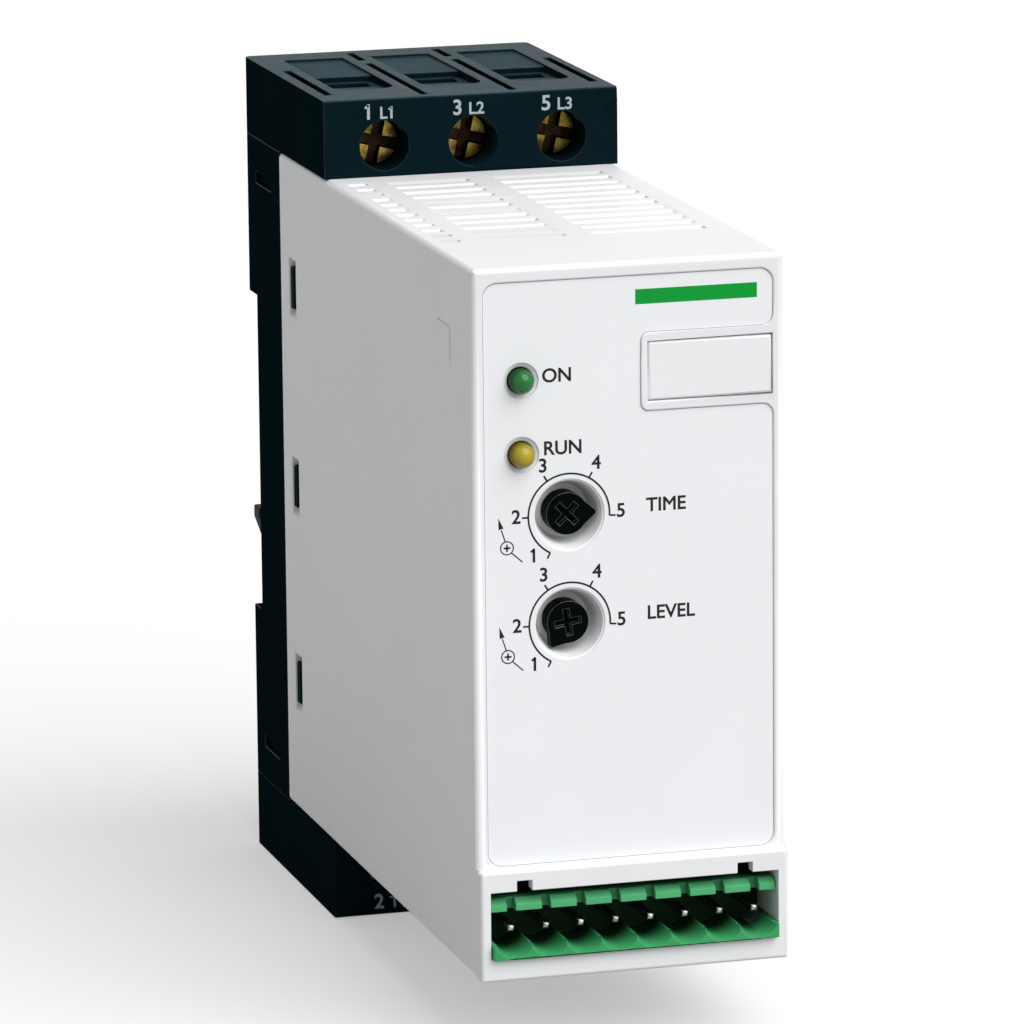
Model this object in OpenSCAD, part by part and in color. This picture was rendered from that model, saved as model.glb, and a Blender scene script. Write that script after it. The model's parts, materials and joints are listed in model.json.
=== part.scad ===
// Motor soft starter for a 35 mm rail: dark base with a screw terminal block above and below,
// pale snap-on cover with two setting dials, two lamps and an eight-way plug header.
// A place is given by x, by d forward of the rear plane, and by h above the underside.

/* [Overall] */
// Width across the sides
body_w = 45; // [44:0.5:52]
// Height over both terminal blocks
body_h = 124; // [118:1:136]
// Depth from the rear plane to the header's rim
body_d = 131; // [126:1:142]
// Wall of the mouldings
wall = 2; // [1.7:0.1:2.4]
// Radius of the outer edges
edge_r = 1; // [0.4:0.1:1.4]
// Gap between parts that push together
fit_gap = 0.2; // [0.1:0.05:0.3]
// Radial gap of a shaft that turns in a hole
run_gap = 0.05; // [0.03:0.01:0.08]

/* [Base] */
// Depth of the base behind the cover
base_d = 21; // [20:0.5:23]
// Depth that the base's collar reaches into the cover
collar_d = 10; // [9.5:0.5:12]
// Wall of the collar
collar_wall = 1.6; // [1.4:0.1:2]
// Snap windows on each side
snap_count = 3; // [2:1:3]
// Distance between snap windows
snap_pitch = 30.5; // [24:0.5:31]
// Height of the lowest snap window above the cover's underside
snap_h = 16.5; // [14:0.5:18]
// Length of a snap window
snap_len = 7; // [6:0.5:8]
// Width of a snap window
snap_w = 4.1; // [3.6:0.1:4.4]
// Distance of the snap windows from the cover's rear edge
snap_set = 5; // [4.5:0.1:5.2]

/* [Rail seat] */
// Height of the mounting rail
rail_size = 35; // [34.5:0.1:35.5]
// Height of the rail's centre above the underside
rail_height = 70.2; // [68:0.2:72]
// Depth of the rail seat
seat_depth = 5.5; // [5.2:0.1:6]
// Gap between the rail and the top of its seat
rail_play = 0.1; // [0.05:0.05:0.3]
// Slot behind the hooks for the rail's edge
lip_slot = 1.6; // [1.3:0.1:1.9]
// Reach of the fixed hooks behind the rail's upper edge
hook_bite = 1.4; // [0.8:0.1:1.8]
// Reach of the clip behind the rail's lower edge
clip_bite = 1.3; // [0.8:0.1:1.6]
// Room below the rail for the clip
clip_room = 14.3; // [13:0.1:16]
// Travel of the clip
clip_travel = 3.5; // [2.5:0.1:4]
// Width of the clip's slide
clip_w = 22; // [20:0.5:24]
// Thickness of the clip's slide
clip_t = 2.4; // [2:0.1:2.6]
// Outer diameter of the clip's spring
spring_d = 3.6; // [3.2:0.1:4]
// Wire of the clip's spring
spring_wire = 0.5; // [0.4:0.05:0.6]
// Length of the clip's spring
spring_l = 13.6; // [12:0.1:15]

/* [Terminals] */
// Height of each terminal block
block_h = 11.6; // [11.4:0.1:13]
// Depth of each terminal block
block_d = 48.5; // [47.5:0.5:54]
// Distance of the outer barrier slots from the sides
pole_margin = 2.1; // [1.9:0.1:2.4]
// Place of the middle pole across the block
pole_offset = 0.3; // [-0.3:0.1:0.5]
// Driver hole in the block's front
driver_bore = 7.5; // [7.3:0.1:7.8]
// Distance of the screw's axis from the block's outer face
screw_inset = 7; // [6.8:0.1:7.2]
// Depth of the screw head's face in the driver hole
head_sink = 5.3; // [4.5:0.1:6]
// Diameter of the screw's head
head_dia = 6.9; // [6.5:0.1:7]
// Thickness of the screw's head
head_t = 2.2; // [2:0.1:2.4]
// Diameter of the screw
screw_dia = 3.5; // [3:0.1:3.6]
// Travel of the clamp
clamp_travel = 3.2; // [2.8:0.1:3.4]
// Gap in front of the clamp when it is screwed up
clamp_set = 3.8; // [3.4:0.1:4.2]
// Opening of the clamp for the wire
wire_gap = 4.4; // [4.2:0.1:4.6]
// Width of the clamp
clamp_w = 9.2; // [8.6:0.1:9.4]
// Height of the clamp
clamp_h = 6.8; // [6.4:0.1:6.9]
// Sheet of the clamp
clamp_t = 1.3; // [1:0.1:1.4]
// Sheet of the bus bars
bar_t = 1.2; // [1:0.1:1.3]
// Width of the bus bars
bar_w = 6.6; // [6:0.1:6.6]
// Width of the barrier slots between the poles
barrier_slot = 1.2; // [1:0.1:1.4]
// Depth of the barrier slots
barrier_depth = 5; // [4:0.1:6]

/* [Cover] */
// Step of the plug section in front of the panel
section_step = 1.5; // [1:0.1:2]
// Reach of the header's rim in front of the plug section
header_proud = 1; // [0.6:0.1:1.4]
// Height of the plug section
section_h = 15.9; // [15.5:0.1:17]
// Rows of vent slots
vent_rows = 12; // [8:1:12]
// Distance between vent rows
vent_pitch = 4.6; // [4.2:0.1:4.6]
// Width of a vent slot
vent_slot = 2.3; // [1.8:0.1:2.6]
// Lean of a vent slot's rear wall over the wall's thickness
vent_lean = 1.1; // [0.6:0.1:1.4]
// Distance of the first vent row behind the panel
vent_set = 23; // [22:0.5:26]
// Margin of the front label at the sides
label_side = 1.7; // [1.4:0.1:2.2]
// Margin of the front label at the top
label_top = 2.2; // [1.8:0.1:2.6]
// Gap between the front label and the plug section
label_foot = 0.4; // [0.3:0.1:1]
// Thickness of the front label
label_t = 0.25; // [0.2:0.05:0.3]
// Depth of the front label's face below the panel
label_sink = 0.25; // [0.1:0.05:0.3]
// Corner radius of the front label
label_r = 2; // [1.5:0.1:3]

/* [Legend plate] */
// Width of the legend plate
plate_w = 17.8; // [17:0.1:18]
// Height of the legend plate
plate_h = 8.1; // [7.5:0.1:8.4]
// Thickness of the legend plate
plate_t = 1.6; // [1.4:0.1:1.7]
// Rise of the legend plate above the lower lamp
plate_rise = 6.6; // [6.2:0.1:7]
// Distance of the legend plate from the cover's right side
plate_side = 1.85; // [1.7:0.05:2.2]

/* [Dials and lamps] */
// Distance of the dials from the left side
dial_x = 13.75; // [13.3:0.05:14.2]
// Distance of the upper dial below the cover's top
dial_h = 35.2; // [34.5:0.1:36]
// Distance between the dials
dial_pitch = 15.4; // [14.5:0.1:16]
// Diameter of a dial's well
well_dia = 10; // [9.6:0.1:10.4]
// Draft of the well's wall from its mouth to its floor
well_draft = 1.2; // [0.6:0.1:1.3]
// Depth of a dial's well
well_depth = 4.3; // [4:0.1:4.5]
// Diameter of a dial's knob
knob_dia = 6; // [5.6:0.1:6.4]
// Depth of the knob's face below the panel
knob_sink = 1.2; // [0.8:0.1:1.5]
// Gap between the knob's pointer and the well's wall
pointer_gap = 0.2; // [0.15:0.05:0.4]
// Diameter of the dial's spindle
spindle_dia = 3.8; // [3.4:0.1:4]
// Distance of the lamps from the left side
lamp_x = 7; // [6.5:0.1:7.5]
// Distance of the upper lamp below the cover's top
lamp_h = 15.9; // [15.5:0.1:16.5]
// Distance between the lamps
lamp_pitch = 10.4; // [10:0.1:11]
// Diameter of a lamp's lens
lamp_dia = 3.5; // [3:0.1:3.6]
// Reach of a lamp's barrel in front of the panel
lamp_proud = 0.3; // [0.2:0.1:0.9]
// Diameter of the dish around a lamp
dish_dia = 4.9; // [4.6:0.1:5.2]
// Depth of the dish around a lamp
dish_depth = 0.25; // [0.2:0.05:0.6]

/* [Plug header] */
// Distance between the header's pins
header_pitch = 5.08; // [5:0.04:5.08]
// Height of the header
header_h = 8.2; // [8:0.1:8.6]
// Depth of the header
header_d = 12; // [11.5:0.1:12.4]
// Thickness of the header's upper lip
header_lip = 1.7; // [1.5:0.05:1.75]
// Set-back of the header's upper lip behind its rim
lip_set = 1.9; // [1.2:0.1:2.4]
// Wall of the header below its troughs
header_wall = 0.45; // [0.4:0.05:0.7]
// Reach of the header past its last pitch
header_end = 0.5; // [0.3:0.05:0.5]
// Side of a header pin
pin_side = 1; // [0.8:0.1:1]
// Height of the header's window in the plug section
window_h = 9.6; // [9.4:0.1:10]
// Height of the header's window above the cover's underside
window_rise = 3.3; // [3:0.1:3.6]

/* [Inside] */
// Thickness of the circuit boards
board_t = 1.6; // [1.4:0.1:1.8]
// Diameter of the posts that carry the boards
post_dia = 5; // [4.5:0.1:5.5]
// Diameter of the board screws
board_screw = 2.5; // [2.2:0.1:2.6]
// Length of the power modules
module_l = 30; // [28:0.5:31]
// Thickness of the power modules
module_t = 8.8; // [8:0.1:9.5]
// Thickness of the heat sink's base
sink_base = 4; // [3.5:0.1:5]
// Reach of the heat sink's fins
fin_reach = 39; // [30:1:45]
// Thickness of a fin
fin_t = 1.5; // [1.2:0.1:1.8]
// Reach of the relays from the power board
relay_d = 17; // [15:0.5:20]
// Height of the relays
relay_h = 15; // [14:0.5:16]
// Diameter of the surge discs
disc_dia = 10; // [8:0.5:11]
// Thickness of the surge discs
disc_t = 4; // [3:0.1:5]
// Distance between the surge discs
disc_pitch = 9; // [8:0.5:10]
// Width of the supply transformer
transformer_w = 22; // [18:0.5:26]
// Height of the supply transformer
transformer_h = 18; // [16:0.5:20]
// Depth of the supply transformer
transformer_d = 17; // [14:0.5:20]
// Diameter of the capacitors
can_dia = 8; // [6:0.5:9]
// Length of the capacitors
can_l = 14; // [12:0.5:18]

/* [Hidden] */
$fn = 32;

over = 1;                                   // cutters run this far past a face
half_w = body_w / 2;
inner_w = half_w - wall;
cover_h0 = block_h;
cover_h1 = body_h - block_h;
mid_h = body_h / 2;

// Front planes
section_d = body_d - header_proud;
panel_d = section_d - section_step;

// Rail seat and clip
recess_h1 = rail_height + rail_size / 2 + rail_play;
recess_h0 = rail_height - rail_size / 2 - clip_room;
lug_r = 1.2;
hook_w = 8;
hook_x = 10;
rear_floor = seat_depth + 5;
slide_gap = 0.3;
slide_d = [seat_depth + slide_gap, seat_depth + slide_gap + clip_t];
channel_d = slide_d[1] + slide_gap;
tooth_h1 = rail_height - rail_size / 2 + clip_bite;
tooth_face = 1.9;
tooth_h0 = tooth_h1 - 4.3;
tooth_root = tooth_h1 - clip_bite;
clip_h0 = cover_h0 + clip_travel + 0.4;
peg_h = [clip_h0 + 6.5, clip_h0 + 8.5];
spring_h = [peg_h[1] + 0.05, peg_h[1] + 0.05 + spring_l];
spring_mid_d = (slide_d[0] + slide_d[1]) / 2;
spring_half = spring_d / 2 + 0.5;

// Terminals, from the screw's head rearwards
screw_h = body_h - screw_inset;
head_d = [block_d - head_sink - head_t, block_d - head_sink];
neck_d1 = head_d[0] - run_gap;
neck_d0 = neck_d1 - 1.4;
clamp_front = neck_d0 - clamp_set - clamp_travel;
bar_d1 = clamp_front - clamp_t - 1.8;
bar_d0 = bar_d1 - bar_t;
clamp_rear = bar_d0 - wire_gap - clamp_t;
bar_h = [cover_h1, cover_h1 + bar_t];
clamp_h0 = bar_h[1] + slide_gap;
roof_h = body_h - 2.4;
cell_depth = 0.4;
ledge_depth = 1.3;
ledge_lip = 0.3;
cell_w = 9.2;
cell_d = [6.5, neck_d0 - 1];
pocket_w = clamp_w + 1;
entry_d = [bar_d0 - wire_gap, bar_d0];
entry_w = clamp_w - 2 * clamp_t + 0.6;
pole_pitch = (body_w - 2 * pole_margin) / 3;
poles = [for (i = [-1:1]) pole_offset + i * pole_pitch];
barriers = [for (i = [-1.5:1:1.5]) pole_offset + i * pole_pitch];

// Boards
power_d = [rear_floor + 4.1, rear_floor + 4.1 + board_t];
power_half = inner_w - fit_gap - collar_wall - 0.7;
power_h = [cover_h0 + wall + fit_gap + collar_wall + 0.6, cover_h1 - wall - fit_gap - collar_wall - 0.6];
header_back = body_d - header_d;
control_d = [header_back - board_t, header_back];
control_half = inner_w - 2;
control_h = [cover_h0 + wall + 0.6, cover_h1 - wall - 2.4];
control_posts = [for (x = [2.5 - control_half, control_half - 2.5], h = [cover_h0 + 21.4, cover_h1 - 8.4])
                   [x, h]];
post_hole = board_screw + 0.1;
board_hole = board_screw + 0.3;
screw_bite = 6;
screw_head = 1.5;
relay_z = [power_h[0] + 0.8, power_h[0] + 0.8 + relay_h];
module_h = [mid_h - module_l / 2, mid_h + module_l / 2];
low_post_h = (relay_z[1] + module_h[0]) / 2;
power_posts = [[3 - power_half, low_post_h], [power_half - 3, low_post_h],
               [barriers[1], recess_h1 + 4.2], [barriers[2], recess_h1 + 4.2]];
sink_d = [power_d[1] + module_t, power_d[1] + module_t + sink_base];
socket_d = 8;
socket_wall = 1.6;
link_x = socket_wall + 0.2 - power_half;
link_h = [mid_h - 10, mid_h + 10];
socket_x = [link_x - socket_wall, link_x + board_t + socket_wall];
sink_x = [socket_x[1] + 0.4, power_half];
module_w = (sink_x[1] - sink_x[0]) / 2 - 1;
module_x = [sink_x[0] + 0.5, sink_x[1] - 0.5 - module_w];

// Front details
dial_at = dial_x - half_w;
lamp_at = lamp_x - half_w;
dial_heights = [cover_h1 - dial_h, cover_h1 - dial_h - dial_pitch];
lamp_heights = [cover_h1 - lamp_h, cover_h1 - lamp_h - lamp_pitch];
well_floor = panel_d - well_depth;
well_wall = 1.2;
knob_d = [well_floor + slide_gap, panel_d - knob_sink];
pointer_d = [knob_d[1] - 1.1, knob_d[1]];
pointer_r = well_dia / 2 - well_draft * (panel_d - pointer_d[0]) / well_depth - pointer_gap;
plate_x = [half_w - plate_side - plate_w, half_w - plate_side];
plate_z = [lamp_heights[1] + plate_rise, lamp_heights[1] + plate_rise + plate_h];
label_x = half_w - label_side;
label_h = [cover_h0 + section_h + label_foot, cover_h1 - label_top];
label_d = panel_d - label_t - label_sink;
window_x = half_w - 1.5;
window_z = [cover_h0 + window_rise, cover_h0 + window_rise + window_h];
key_x = [half_w - 7.5, half_w - 5.3];
key_rise = 1.5;
header_ways = floor(2 * (window_x - header_end) / header_pitch);
header_x = header_ways * header_pitch / 2 + header_end;
header_z = [window_z[0] + 0.1, window_z[0] + 0.1 + header_h];
pin_h = header_z[0] + 4;
trough_r = header_pitch / 2 + 0.1;
trough_rise = 1.6;
vent_columns = [[2.1 - half_w, 4.9 - half_w], [8.1 - half_w, -2.3], [1.6, half_w - 4.3]];
snap_d = base_d + snap_set;

function at_y(d) = seat_depth - d;
function at_z(h) = h - rail_height;

// Box between two places
module brick(x, d, h) translate([x[0], at_y(d[1]), at_z(h[0])]) cube([x[1] - x[0], d[1] - d[0], h[1] - h[0]]);

// Round bar or cone that runs forwards
module rod(x, h, d, dia, dia_front = undef)
  translate([x, at_y(d[0]), at_z(h)]) rotate([90, 0, 0])
    cylinder(h = d[1] - d[0], d1 = dia, d2 = is_undef(dia_front) ? dia : dia_front);

// Outlines in d and h swept across, in x and h swept forwards, and in x and d swept upwards
module across(x) translate([x[0], seat_depth, -rail_height]) rotate([90, 0, 90])
  linear_extrude(x[1] - x[0]) mirror([1, 0]) children();
module forwards(d) translate([0, at_y(d[0]), -rail_height]) rotate([90, 0, 0])
  linear_extrude(d[1] - d[0]) children();
module upwards(h) translate([0, seat_depth, at_z(h[0])])
  linear_extrude(h[1] - h[0]) mirror([0, 1]) children();

// Same shape in the lower terminal block
module flipped() translate([0, 0, 2 * at_z(mid_h)]) mirror([0, 0, 1]) children();

module panel_shape(x, y) translate([x[0], y[0]]) square([x[1] - x[0], y[1] - y[0]]);

module round_panel(x, y, r) {
  panel_shape([x[0] + r, x[1] - r], y);
  panel_shape(x, [y[0] + r, y[1] - r]);
  for (px = [x[0] + r, x[1] - r], py = [y[0] + r, y[1] - r]) translate([px, py]) circle(r);
}

// What a rounded corner takes off; s points into the material
module corner_cut(p, s, r) translate(p) difference() {
  translate([s[0] > 0 ? -over : -r, s[1] > 0 ? -over : -r]) square(r + over);
  translate([s[0] * r, s[1] * r]) circle(r);
}

// Base with the rail seat, the clip's channel and the collar that the cover snaps on
module rear_profile() difference() {
  panel_shape([0, base_d], [cover_h0, cover_h1]);
  panel_shape([-over, seat_depth], [recess_h0, recess_h1]);
  corner_cut([0, recess_h1], [1, 1], lug_r);
  corner_cut([0, recess_h0], [1, -1], lug_r);
}

// Fillet in the seat's lower corner
module seat_fillet() difference() {
  panel_shape([seat_depth - lug_r, seat_depth + 0.01], [recess_h0 - 0.01, recess_h0 + lug_r]);
  translate([seat_depth - lug_r, recess_h0 + lug_r]) circle(lug_r);
}

module collar(grow, d, inset) forwards(d) difference() {
  panel_shape([-inner_w - grow, inner_w + grow], [cover_h0 + wall - grow, cover_h1 - wall + grow]);
  panel_shape([-inner_w + inset, inner_w - inset], [cover_h0 + wall + inset, cover_h1 - wall - inset]);
}

module snap_hook(h, side) upwards([h + slide_gap, h + snap_len - slide_gap])
  polygon([for (p = [[-fit_gap - over, 0], [wall - fit_gap, 0], [wall - fit_gap, 1.2],
                     [-fit_gap, snap_w - 2 * slide_gap], [-fit_gap - over, snap_w - 2 * slide_gap]])
           [side * (inner_w + p[0]), snap_d + slide_gap + p[1]]]);

module snap_heights() for (i = [0:snap_count - 1]) let ($h = cover_h0 + snap_h + i * snap_pitch) children();

module catch_window(grow) for (side = [-1, 1])
  brick([side * half_w - 3, side * half_w + 3], [6 - grow, 15.6 + grow],
        [cover_h1 - 7 - grow, cover_h1 - 5.2 + grow]);

module base_housing() color([0.09, 0.14, 0.16]) {
  inset = fit_gap + collar_wall;
  difference() {
    union() {
      difference() {
        across([-half_w, half_w]) {
          rear_profile();
          seat_fillet();
        }
        brick([-inner_w, inner_w], [rear_floor, base_d + over], [cover_h0 + wall, cover_h1 - wall]);
        brick([-inner_w, inner_w], [wall, rear_floor + over], [recess_h1 + 2.5, cover_h1 - wall]);
        for (side = [-1, 1])
          brick(side > 0 ? [clip_w / 2 + 2.3, inner_w] : [-inner_w, -clip_w / 2 - 2.3],
                [wall, rear_floor + over], [cover_h0 + wall, recess_h0 - 2.4]);
        for (side = [-1, 1]) upwards([0, body_h]) corner_cut([side * half_w, 0], [-side, 1], edge_r);
        // channel and trough of the clip and its spring
        brick([-clip_w / 2 - slide_gap, clip_w / 2 + slide_gap], [seat_depth, channel_d],
              [cover_h0 - over, tooth_h1 + 4]);
        brick([-clip_w / 2 + 1.5, clip_w / 2 - 1.5], [-over, seat_depth + over],
              [cover_h0 - over, recess_h0 + over]);
        brick([-spring_half, spring_half], [channel_d - over, spring_mid_d + spring_half],
              [peg_h[1], spring_h[1] + 0.6]);
        // ways for the bus bars and the terminal blocks' tongues, above and below
        for (x = poles) brick([x - bar_w / 2 - fit_gap, x + bar_w / 2 + fit_gap],
                              [power_d[0] - bar_t - fit_gap, power_d[0] + fit_gap], [0, body_h]);
        for (side = [-1, 1]) brick(side > 0 ? [inner_w - 2, inner_w] : [-inner_w, 2 - inner_w],
                                   [5.7, 15.9], [cover_h1 - wall - over, body_h]);
        flipped() for (side = [-1, 1]) brick(side > 0 ? [inner_w - 2, inner_w] : [-inner_w, 2 - inner_w],
                                             [5.7, 15.9], [cover_h1 - wall - over, body_h]);
        catch_window(0);
        flipped() catch_window(0);
      }
      for (x = [-hook_x, hook_x])
        brick([x - hook_w / 2, x + hook_w / 2], [0.6, seat_depth - lip_slot],
              [recess_h1 - hook_bite - rail_play, recess_h1 + over]);
      brick([-spring_half + 0.5, spring_half - 0.5], [slide_d[0] - 0.2, channel_d + over], peg_h);
      collar(0.1, [base_d - 3, base_d], inset);
      collar(-fit_gap, [base_d - over, base_d + collar_d], inset);
      snap_heights() for (side = [-1, 1]) snap_hook($h, side);
      for (p = power_posts)
        rod(p[0], p[1], [p[1] > recess_h1 ? wall / 2 : rear_floor - over, power_d[0]], post_dia);
    }
    for (p = power_posts) rod(p[0], p[1], [power_d[0] - screw_bite - over, power_d[0] + over], post_hole);
    for (x = poles) brick([x - bar_w / 2 - fit_gap, x + bar_w / 2 + fit_gap],
                          [power_d[0] - bar_t - fit_gap, power_d[0] + fit_gap], [0, body_h]);
  }
}

// Terminal block: open below, with one roofed pocket per pole
module ledge(x) intersection() {
  upwards([cover_h1, body_h + over]) round_panel([x - cell_w / 2, x + cell_w / 2], cell_d, 2.8);
  across([x - cell_w, x + cell_w])
    polygon([[entry_d[0] - 0.6, body_h + over], [entry_d[0] - 0.6, body_h - ledge_depth],
             [entry_d[1], body_h - ledge_depth], [cell_d[1], body_h - ledge_lip],
             [cell_d[1], body_h + over]]);
}

module terminal_block() {
  difference() {
    forwards([0, block_d]) round_panel([-half_w, half_w], [cover_h1, body_h], 0.05);
    for (side = [-1, 1]) upwards([0, body_h + over]) corner_cut([side * half_w, 0], [-side, 1], edge_r);
    across([-half_w - over, half_w + over]) corner_cut([block_d, body_h], [-1, -1], edge_r * 0.5);
    for (x = poles) {
      brick([x - pocket_w / 2, x + pocket_w / 2], [wall, neck_d0], [cover_h1 - over, roof_h]);
      brick([x - cell_w / 2, x + cell_w / 2], [cell_d[0], entry_d[1]], [body_h - cell_depth, body_h + over]);
      ledge(x);
      brick([x - entry_w / 2, x + entry_w / 2], entry_d, [roof_h - over, body_h]);
      rod(x, screw_h, [neck_d1, block_d + over], driver_bore);
      rod(x, screw_h, [neck_d0 - over, neck_d1 + over], screw_dia + 2 * run_gap);
    }
    for (i = [0:3]) {
      inner = i == 1 || i == 2;
      x = [barriers[i] - barrier_slot / 2, barriers[i] + barrier_slot / 2];
      brick(x, inner ? [13.5, block_d - 2.1] : [17, block_d - 6], [body_h - barrier_depth, body_h + over]);
      if (inner) brick(x, [2.5, 10.5], [body_h - barrier_depth, body_h + over]);
    }
  }
  for (side = [-1, 1]) block_tongue(side);
}

// Tongue that drops into the base and catches in its side window
module block_tongue(side) {
  outer = inner_w - fit_gap;
  x = [outer - 1.5, outer];
  nose = [outer - 0.5, half_w - 0.7];
  brick(side > 0 ? x : [-x[1], -x[0]], [6.2, 15.4], [cover_h1 - 8.5, cover_h1 + over]);
  brick(side > 0 ? nose : [-nose[1], -nose[0]], [6.2, 15.4], [cover_h1 - 6.9, cover_h1 - 5.4]);
}

module upper_terminal_block() color([0.09, 0.14, 0.16]) terminal_block();

module lower_terminal_block() color([0.09, 0.14, 0.16]) difference() {
  flipped() terminal_block();
  brick([-clip_w / 2 + 1.5, clip_w / 2 - 1.5], [-over, channel_d], [-over, cover_h0 + over]);
}

// Terminal pieces; poles 1 to 3 are above, 4 to 6 below
module at_pole(i) {
  if (i <= 3) translate([poles[i - 1], 0, 0]) children();
  else translate([poles[i - 4], 0, 0]) flipped() children();
}

module bus_bar(i) color([0.72, 0.45, 0.26]) at_pole(i) {
  x = [-bar_w / 2, bar_w / 2];
  leg_d = [power_d[0] - bar_t, power_d[0]];
  brick(x, [bar_d0, bar_d1], [bar_h[0], clamp_h0 + clamp_h - 0.4]);
  brick(x, [leg_d[0], bar_d1], bar_h);
  brick(x, leg_d, [power_h[1] - 8, bar_h[1]]);
}

module wire_clamp(i) color([0.75, 0.75, 0.74]) at_pole(i) difference() {
  brick([-clamp_w / 2, clamp_w / 2], [clamp_rear, clamp_front], [clamp_h0, clamp_h0 + clamp_h]);
  brick([clamp_t - clamp_w / 2, clamp_w / 2 - clamp_t], [clamp_rear + clamp_t, clamp_front - clamp_t],
        [0, body_h]);
  rod(0, screw_h, [clamp_front - 2 * clamp_t, clamp_front + over], screw_dia + 2 * run_gap);
}

module terminal_screw(i) color([0.78, 0.62, 0.25]) at_pole(i) {
  slot_w = 1.6;
  slot_depth = 1.5;
  difference() {
    rod(0, screw_h, head_d, head_dia);
    rotate_on(screw_h, 12) for (turn = [0, 90]) rotate([0, turn, 0])
      translate([-head_dia / 2 - over, at_y(head_d[1] + over), -slot_w / 2])
        cube([head_dia + 2 * over, slot_depth + over, slot_w]);
  }
  rod(0, screw_h, [bar_d1 + slide_gap, head_d[0] + 0.5], screw_dia);
}

module rotate_on(h, turn) translate([0, 0, at_z(h)]) rotate([0, turn, 0]) children();

// Clip that slides down to free the rail, and its spring
module din_clip() color([0.1, 0.12, 0.13]) {
  difference() {
    brick([-clip_w / 2, clip_w / 2], slide_d, [clip_h0, tooth_root]);
    brick([-spring_half + 0.2, spring_half - 0.2], [slide_d[0] - over, slide_d[1] + over],
          [peg_h[0] - 0.3, spring_h[1] + 0.15]);
    brick([-2.8, 2.8], [slide_d[0] - over, slide_d[1] + over], [clip_h0 + 1.5, clip_h0 + 4]);
  }
  tail = seat_depth - slide_gap;
  across([-half_w + 0.2, half_w - 0.2])
    polygon([[0.3, tooth_h1], [0.3, tooth_h1 - tooth_face], [tail, tooth_h0], [tail, tooth_root - 0.2],
             [seat_depth - lip_slot - 0.1, tooth_root - 0.2], [seat_depth - lip_slot - 0.1, tooth_h1]]);
  brick([-clip_w / 2, clip_w / 2], [tail - over, slide_d[0] + 0.5], [tooth_h0, tooth_root - 0.2]);
}

spring_turns = 8;
spring_sides = 6;
spring_rings = 12 * spring_turns;
function spring_point(i, j) = let (
    turn = 360 * spring_turns * i / spring_rings,
    ring = 360 * j / spring_sides,
    reach = (spring_d - spring_wire) / 2 + spring_wire / 2 * cos(ring),
    rise = spring_wire / 2 + (spring_l - spring_wire) * i / spring_rings)
  [reach * cos(turn), at_y(spring_mid_d) + reach * sin(turn),
   at_z(spring_h[0] + rise) + spring_wire / 2 * sin(ring)];

module clip_spring() color([0.7, 0.7, 0.7]) polyhedron(
  points = [for (i = [0:spring_rings], j = [0:spring_sides - 1]) spring_point(i, j)],
  faces = concat(
    [[for (j = [0:spring_sides - 1]) j]],
    [[for (j = [spring_sides - 1:-1:0]) spring_rings * spring_sides + j]],
    [for (i = [0:spring_rings - 1], j = [0:spring_sides - 1]) let (k = (j + 1) % spring_sides)
       [i * spring_sides + j, (i + 1) * spring_sides + j,
        (i + 1) * spring_sides + k, i * spring_sides + k]]));

// Cover
module label_shape(grow) difference() {
  round_panel([-label_x - grow, label_x + grow], [label_h[0] - grow, label_h[1] + grow], label_r);
  notch = [plate_z[0] - 1.6 + grow, plate_z[1] + 1.5 - grow];
  round_panel([plate_x[0] - 1.2 + grow, half_w + 5], notch, 1.2);
  corner_cut([label_x + grow, notch[0]], [-1, -1], 1.6);
  corner_cut([label_x + grow, notch[1]], [-1, 1], 1.6);
}

// Vent slots through the top, and the same below; each rear wall leans forwards
module vent_outline(rear) {
  foot = cover_h1 - wall;
  polygon([[rear, cover_h1 + over], [rear, cover_h1], [rear + vent_lean, foot],
           [rear + vent_lean, foot - over], [rear + vent_slot, foot - over],
           [rear + vent_slot, cover_h1 + over]]);
}

module vents() for (i = [0:vent_rows - 1], column = vent_columns) across(column) {
  rear = panel_d - vent_set - i * vent_pitch - vent_slot / 2;
  vent_outline(rear);
  translate([0, body_h]) mirror([0, 1]) vent_outline(rear);
}

// Snap window through both sides, with a lead-in at its ends
module snap_window(h) forwards([snap_d, snap_d + snap_w]) {
  lead = 1.2;
  polygon([[-half_w - 0.1, h - lead], [lead - half_w, h], [half_w - lead, h], [half_w + 0.1, h - lead],
           [half_w + 0.1, h + snap_len + lead], [half_w - lead, h + snap_len],
           [lead - half_w, h + snap_len], [-half_w - 0.1, h + snap_len + lead]]);
}

module header_bay() {
  brick([-window_x, window_x], [control_d[0] - over, section_d + over], window_z);
  for (side = [-1, 1])
    brick(side > 0 ? key_x : [-key_x[1], -key_x[0]], [section_d - 2 * wall, section_d + over],
          [window_z[1] - over, window_z[1] + key_rise]);
}

module cover_shell() difference() {
  union() {
    forwards([base_d, panel_d]) round_panel([-half_w, half_w], [cover_h0, cover_h1], edge_r);
    forwards([panel_d - over, section_d])
      round_panel([-half_w, half_w], [cover_h0, cover_h0 + section_h], edge_r * 0.6);
  }
  brick([-inner_w, inner_w], [base_d - over, panel_d - wall], [cover_h0 + wall, cover_h1 - wall]);
  brick([-inner_w, inner_w], [panel_d - wall - over, section_d - wall],
        [cover_h0 + wall, cover_h0 + section_h - wall]);
}

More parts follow.
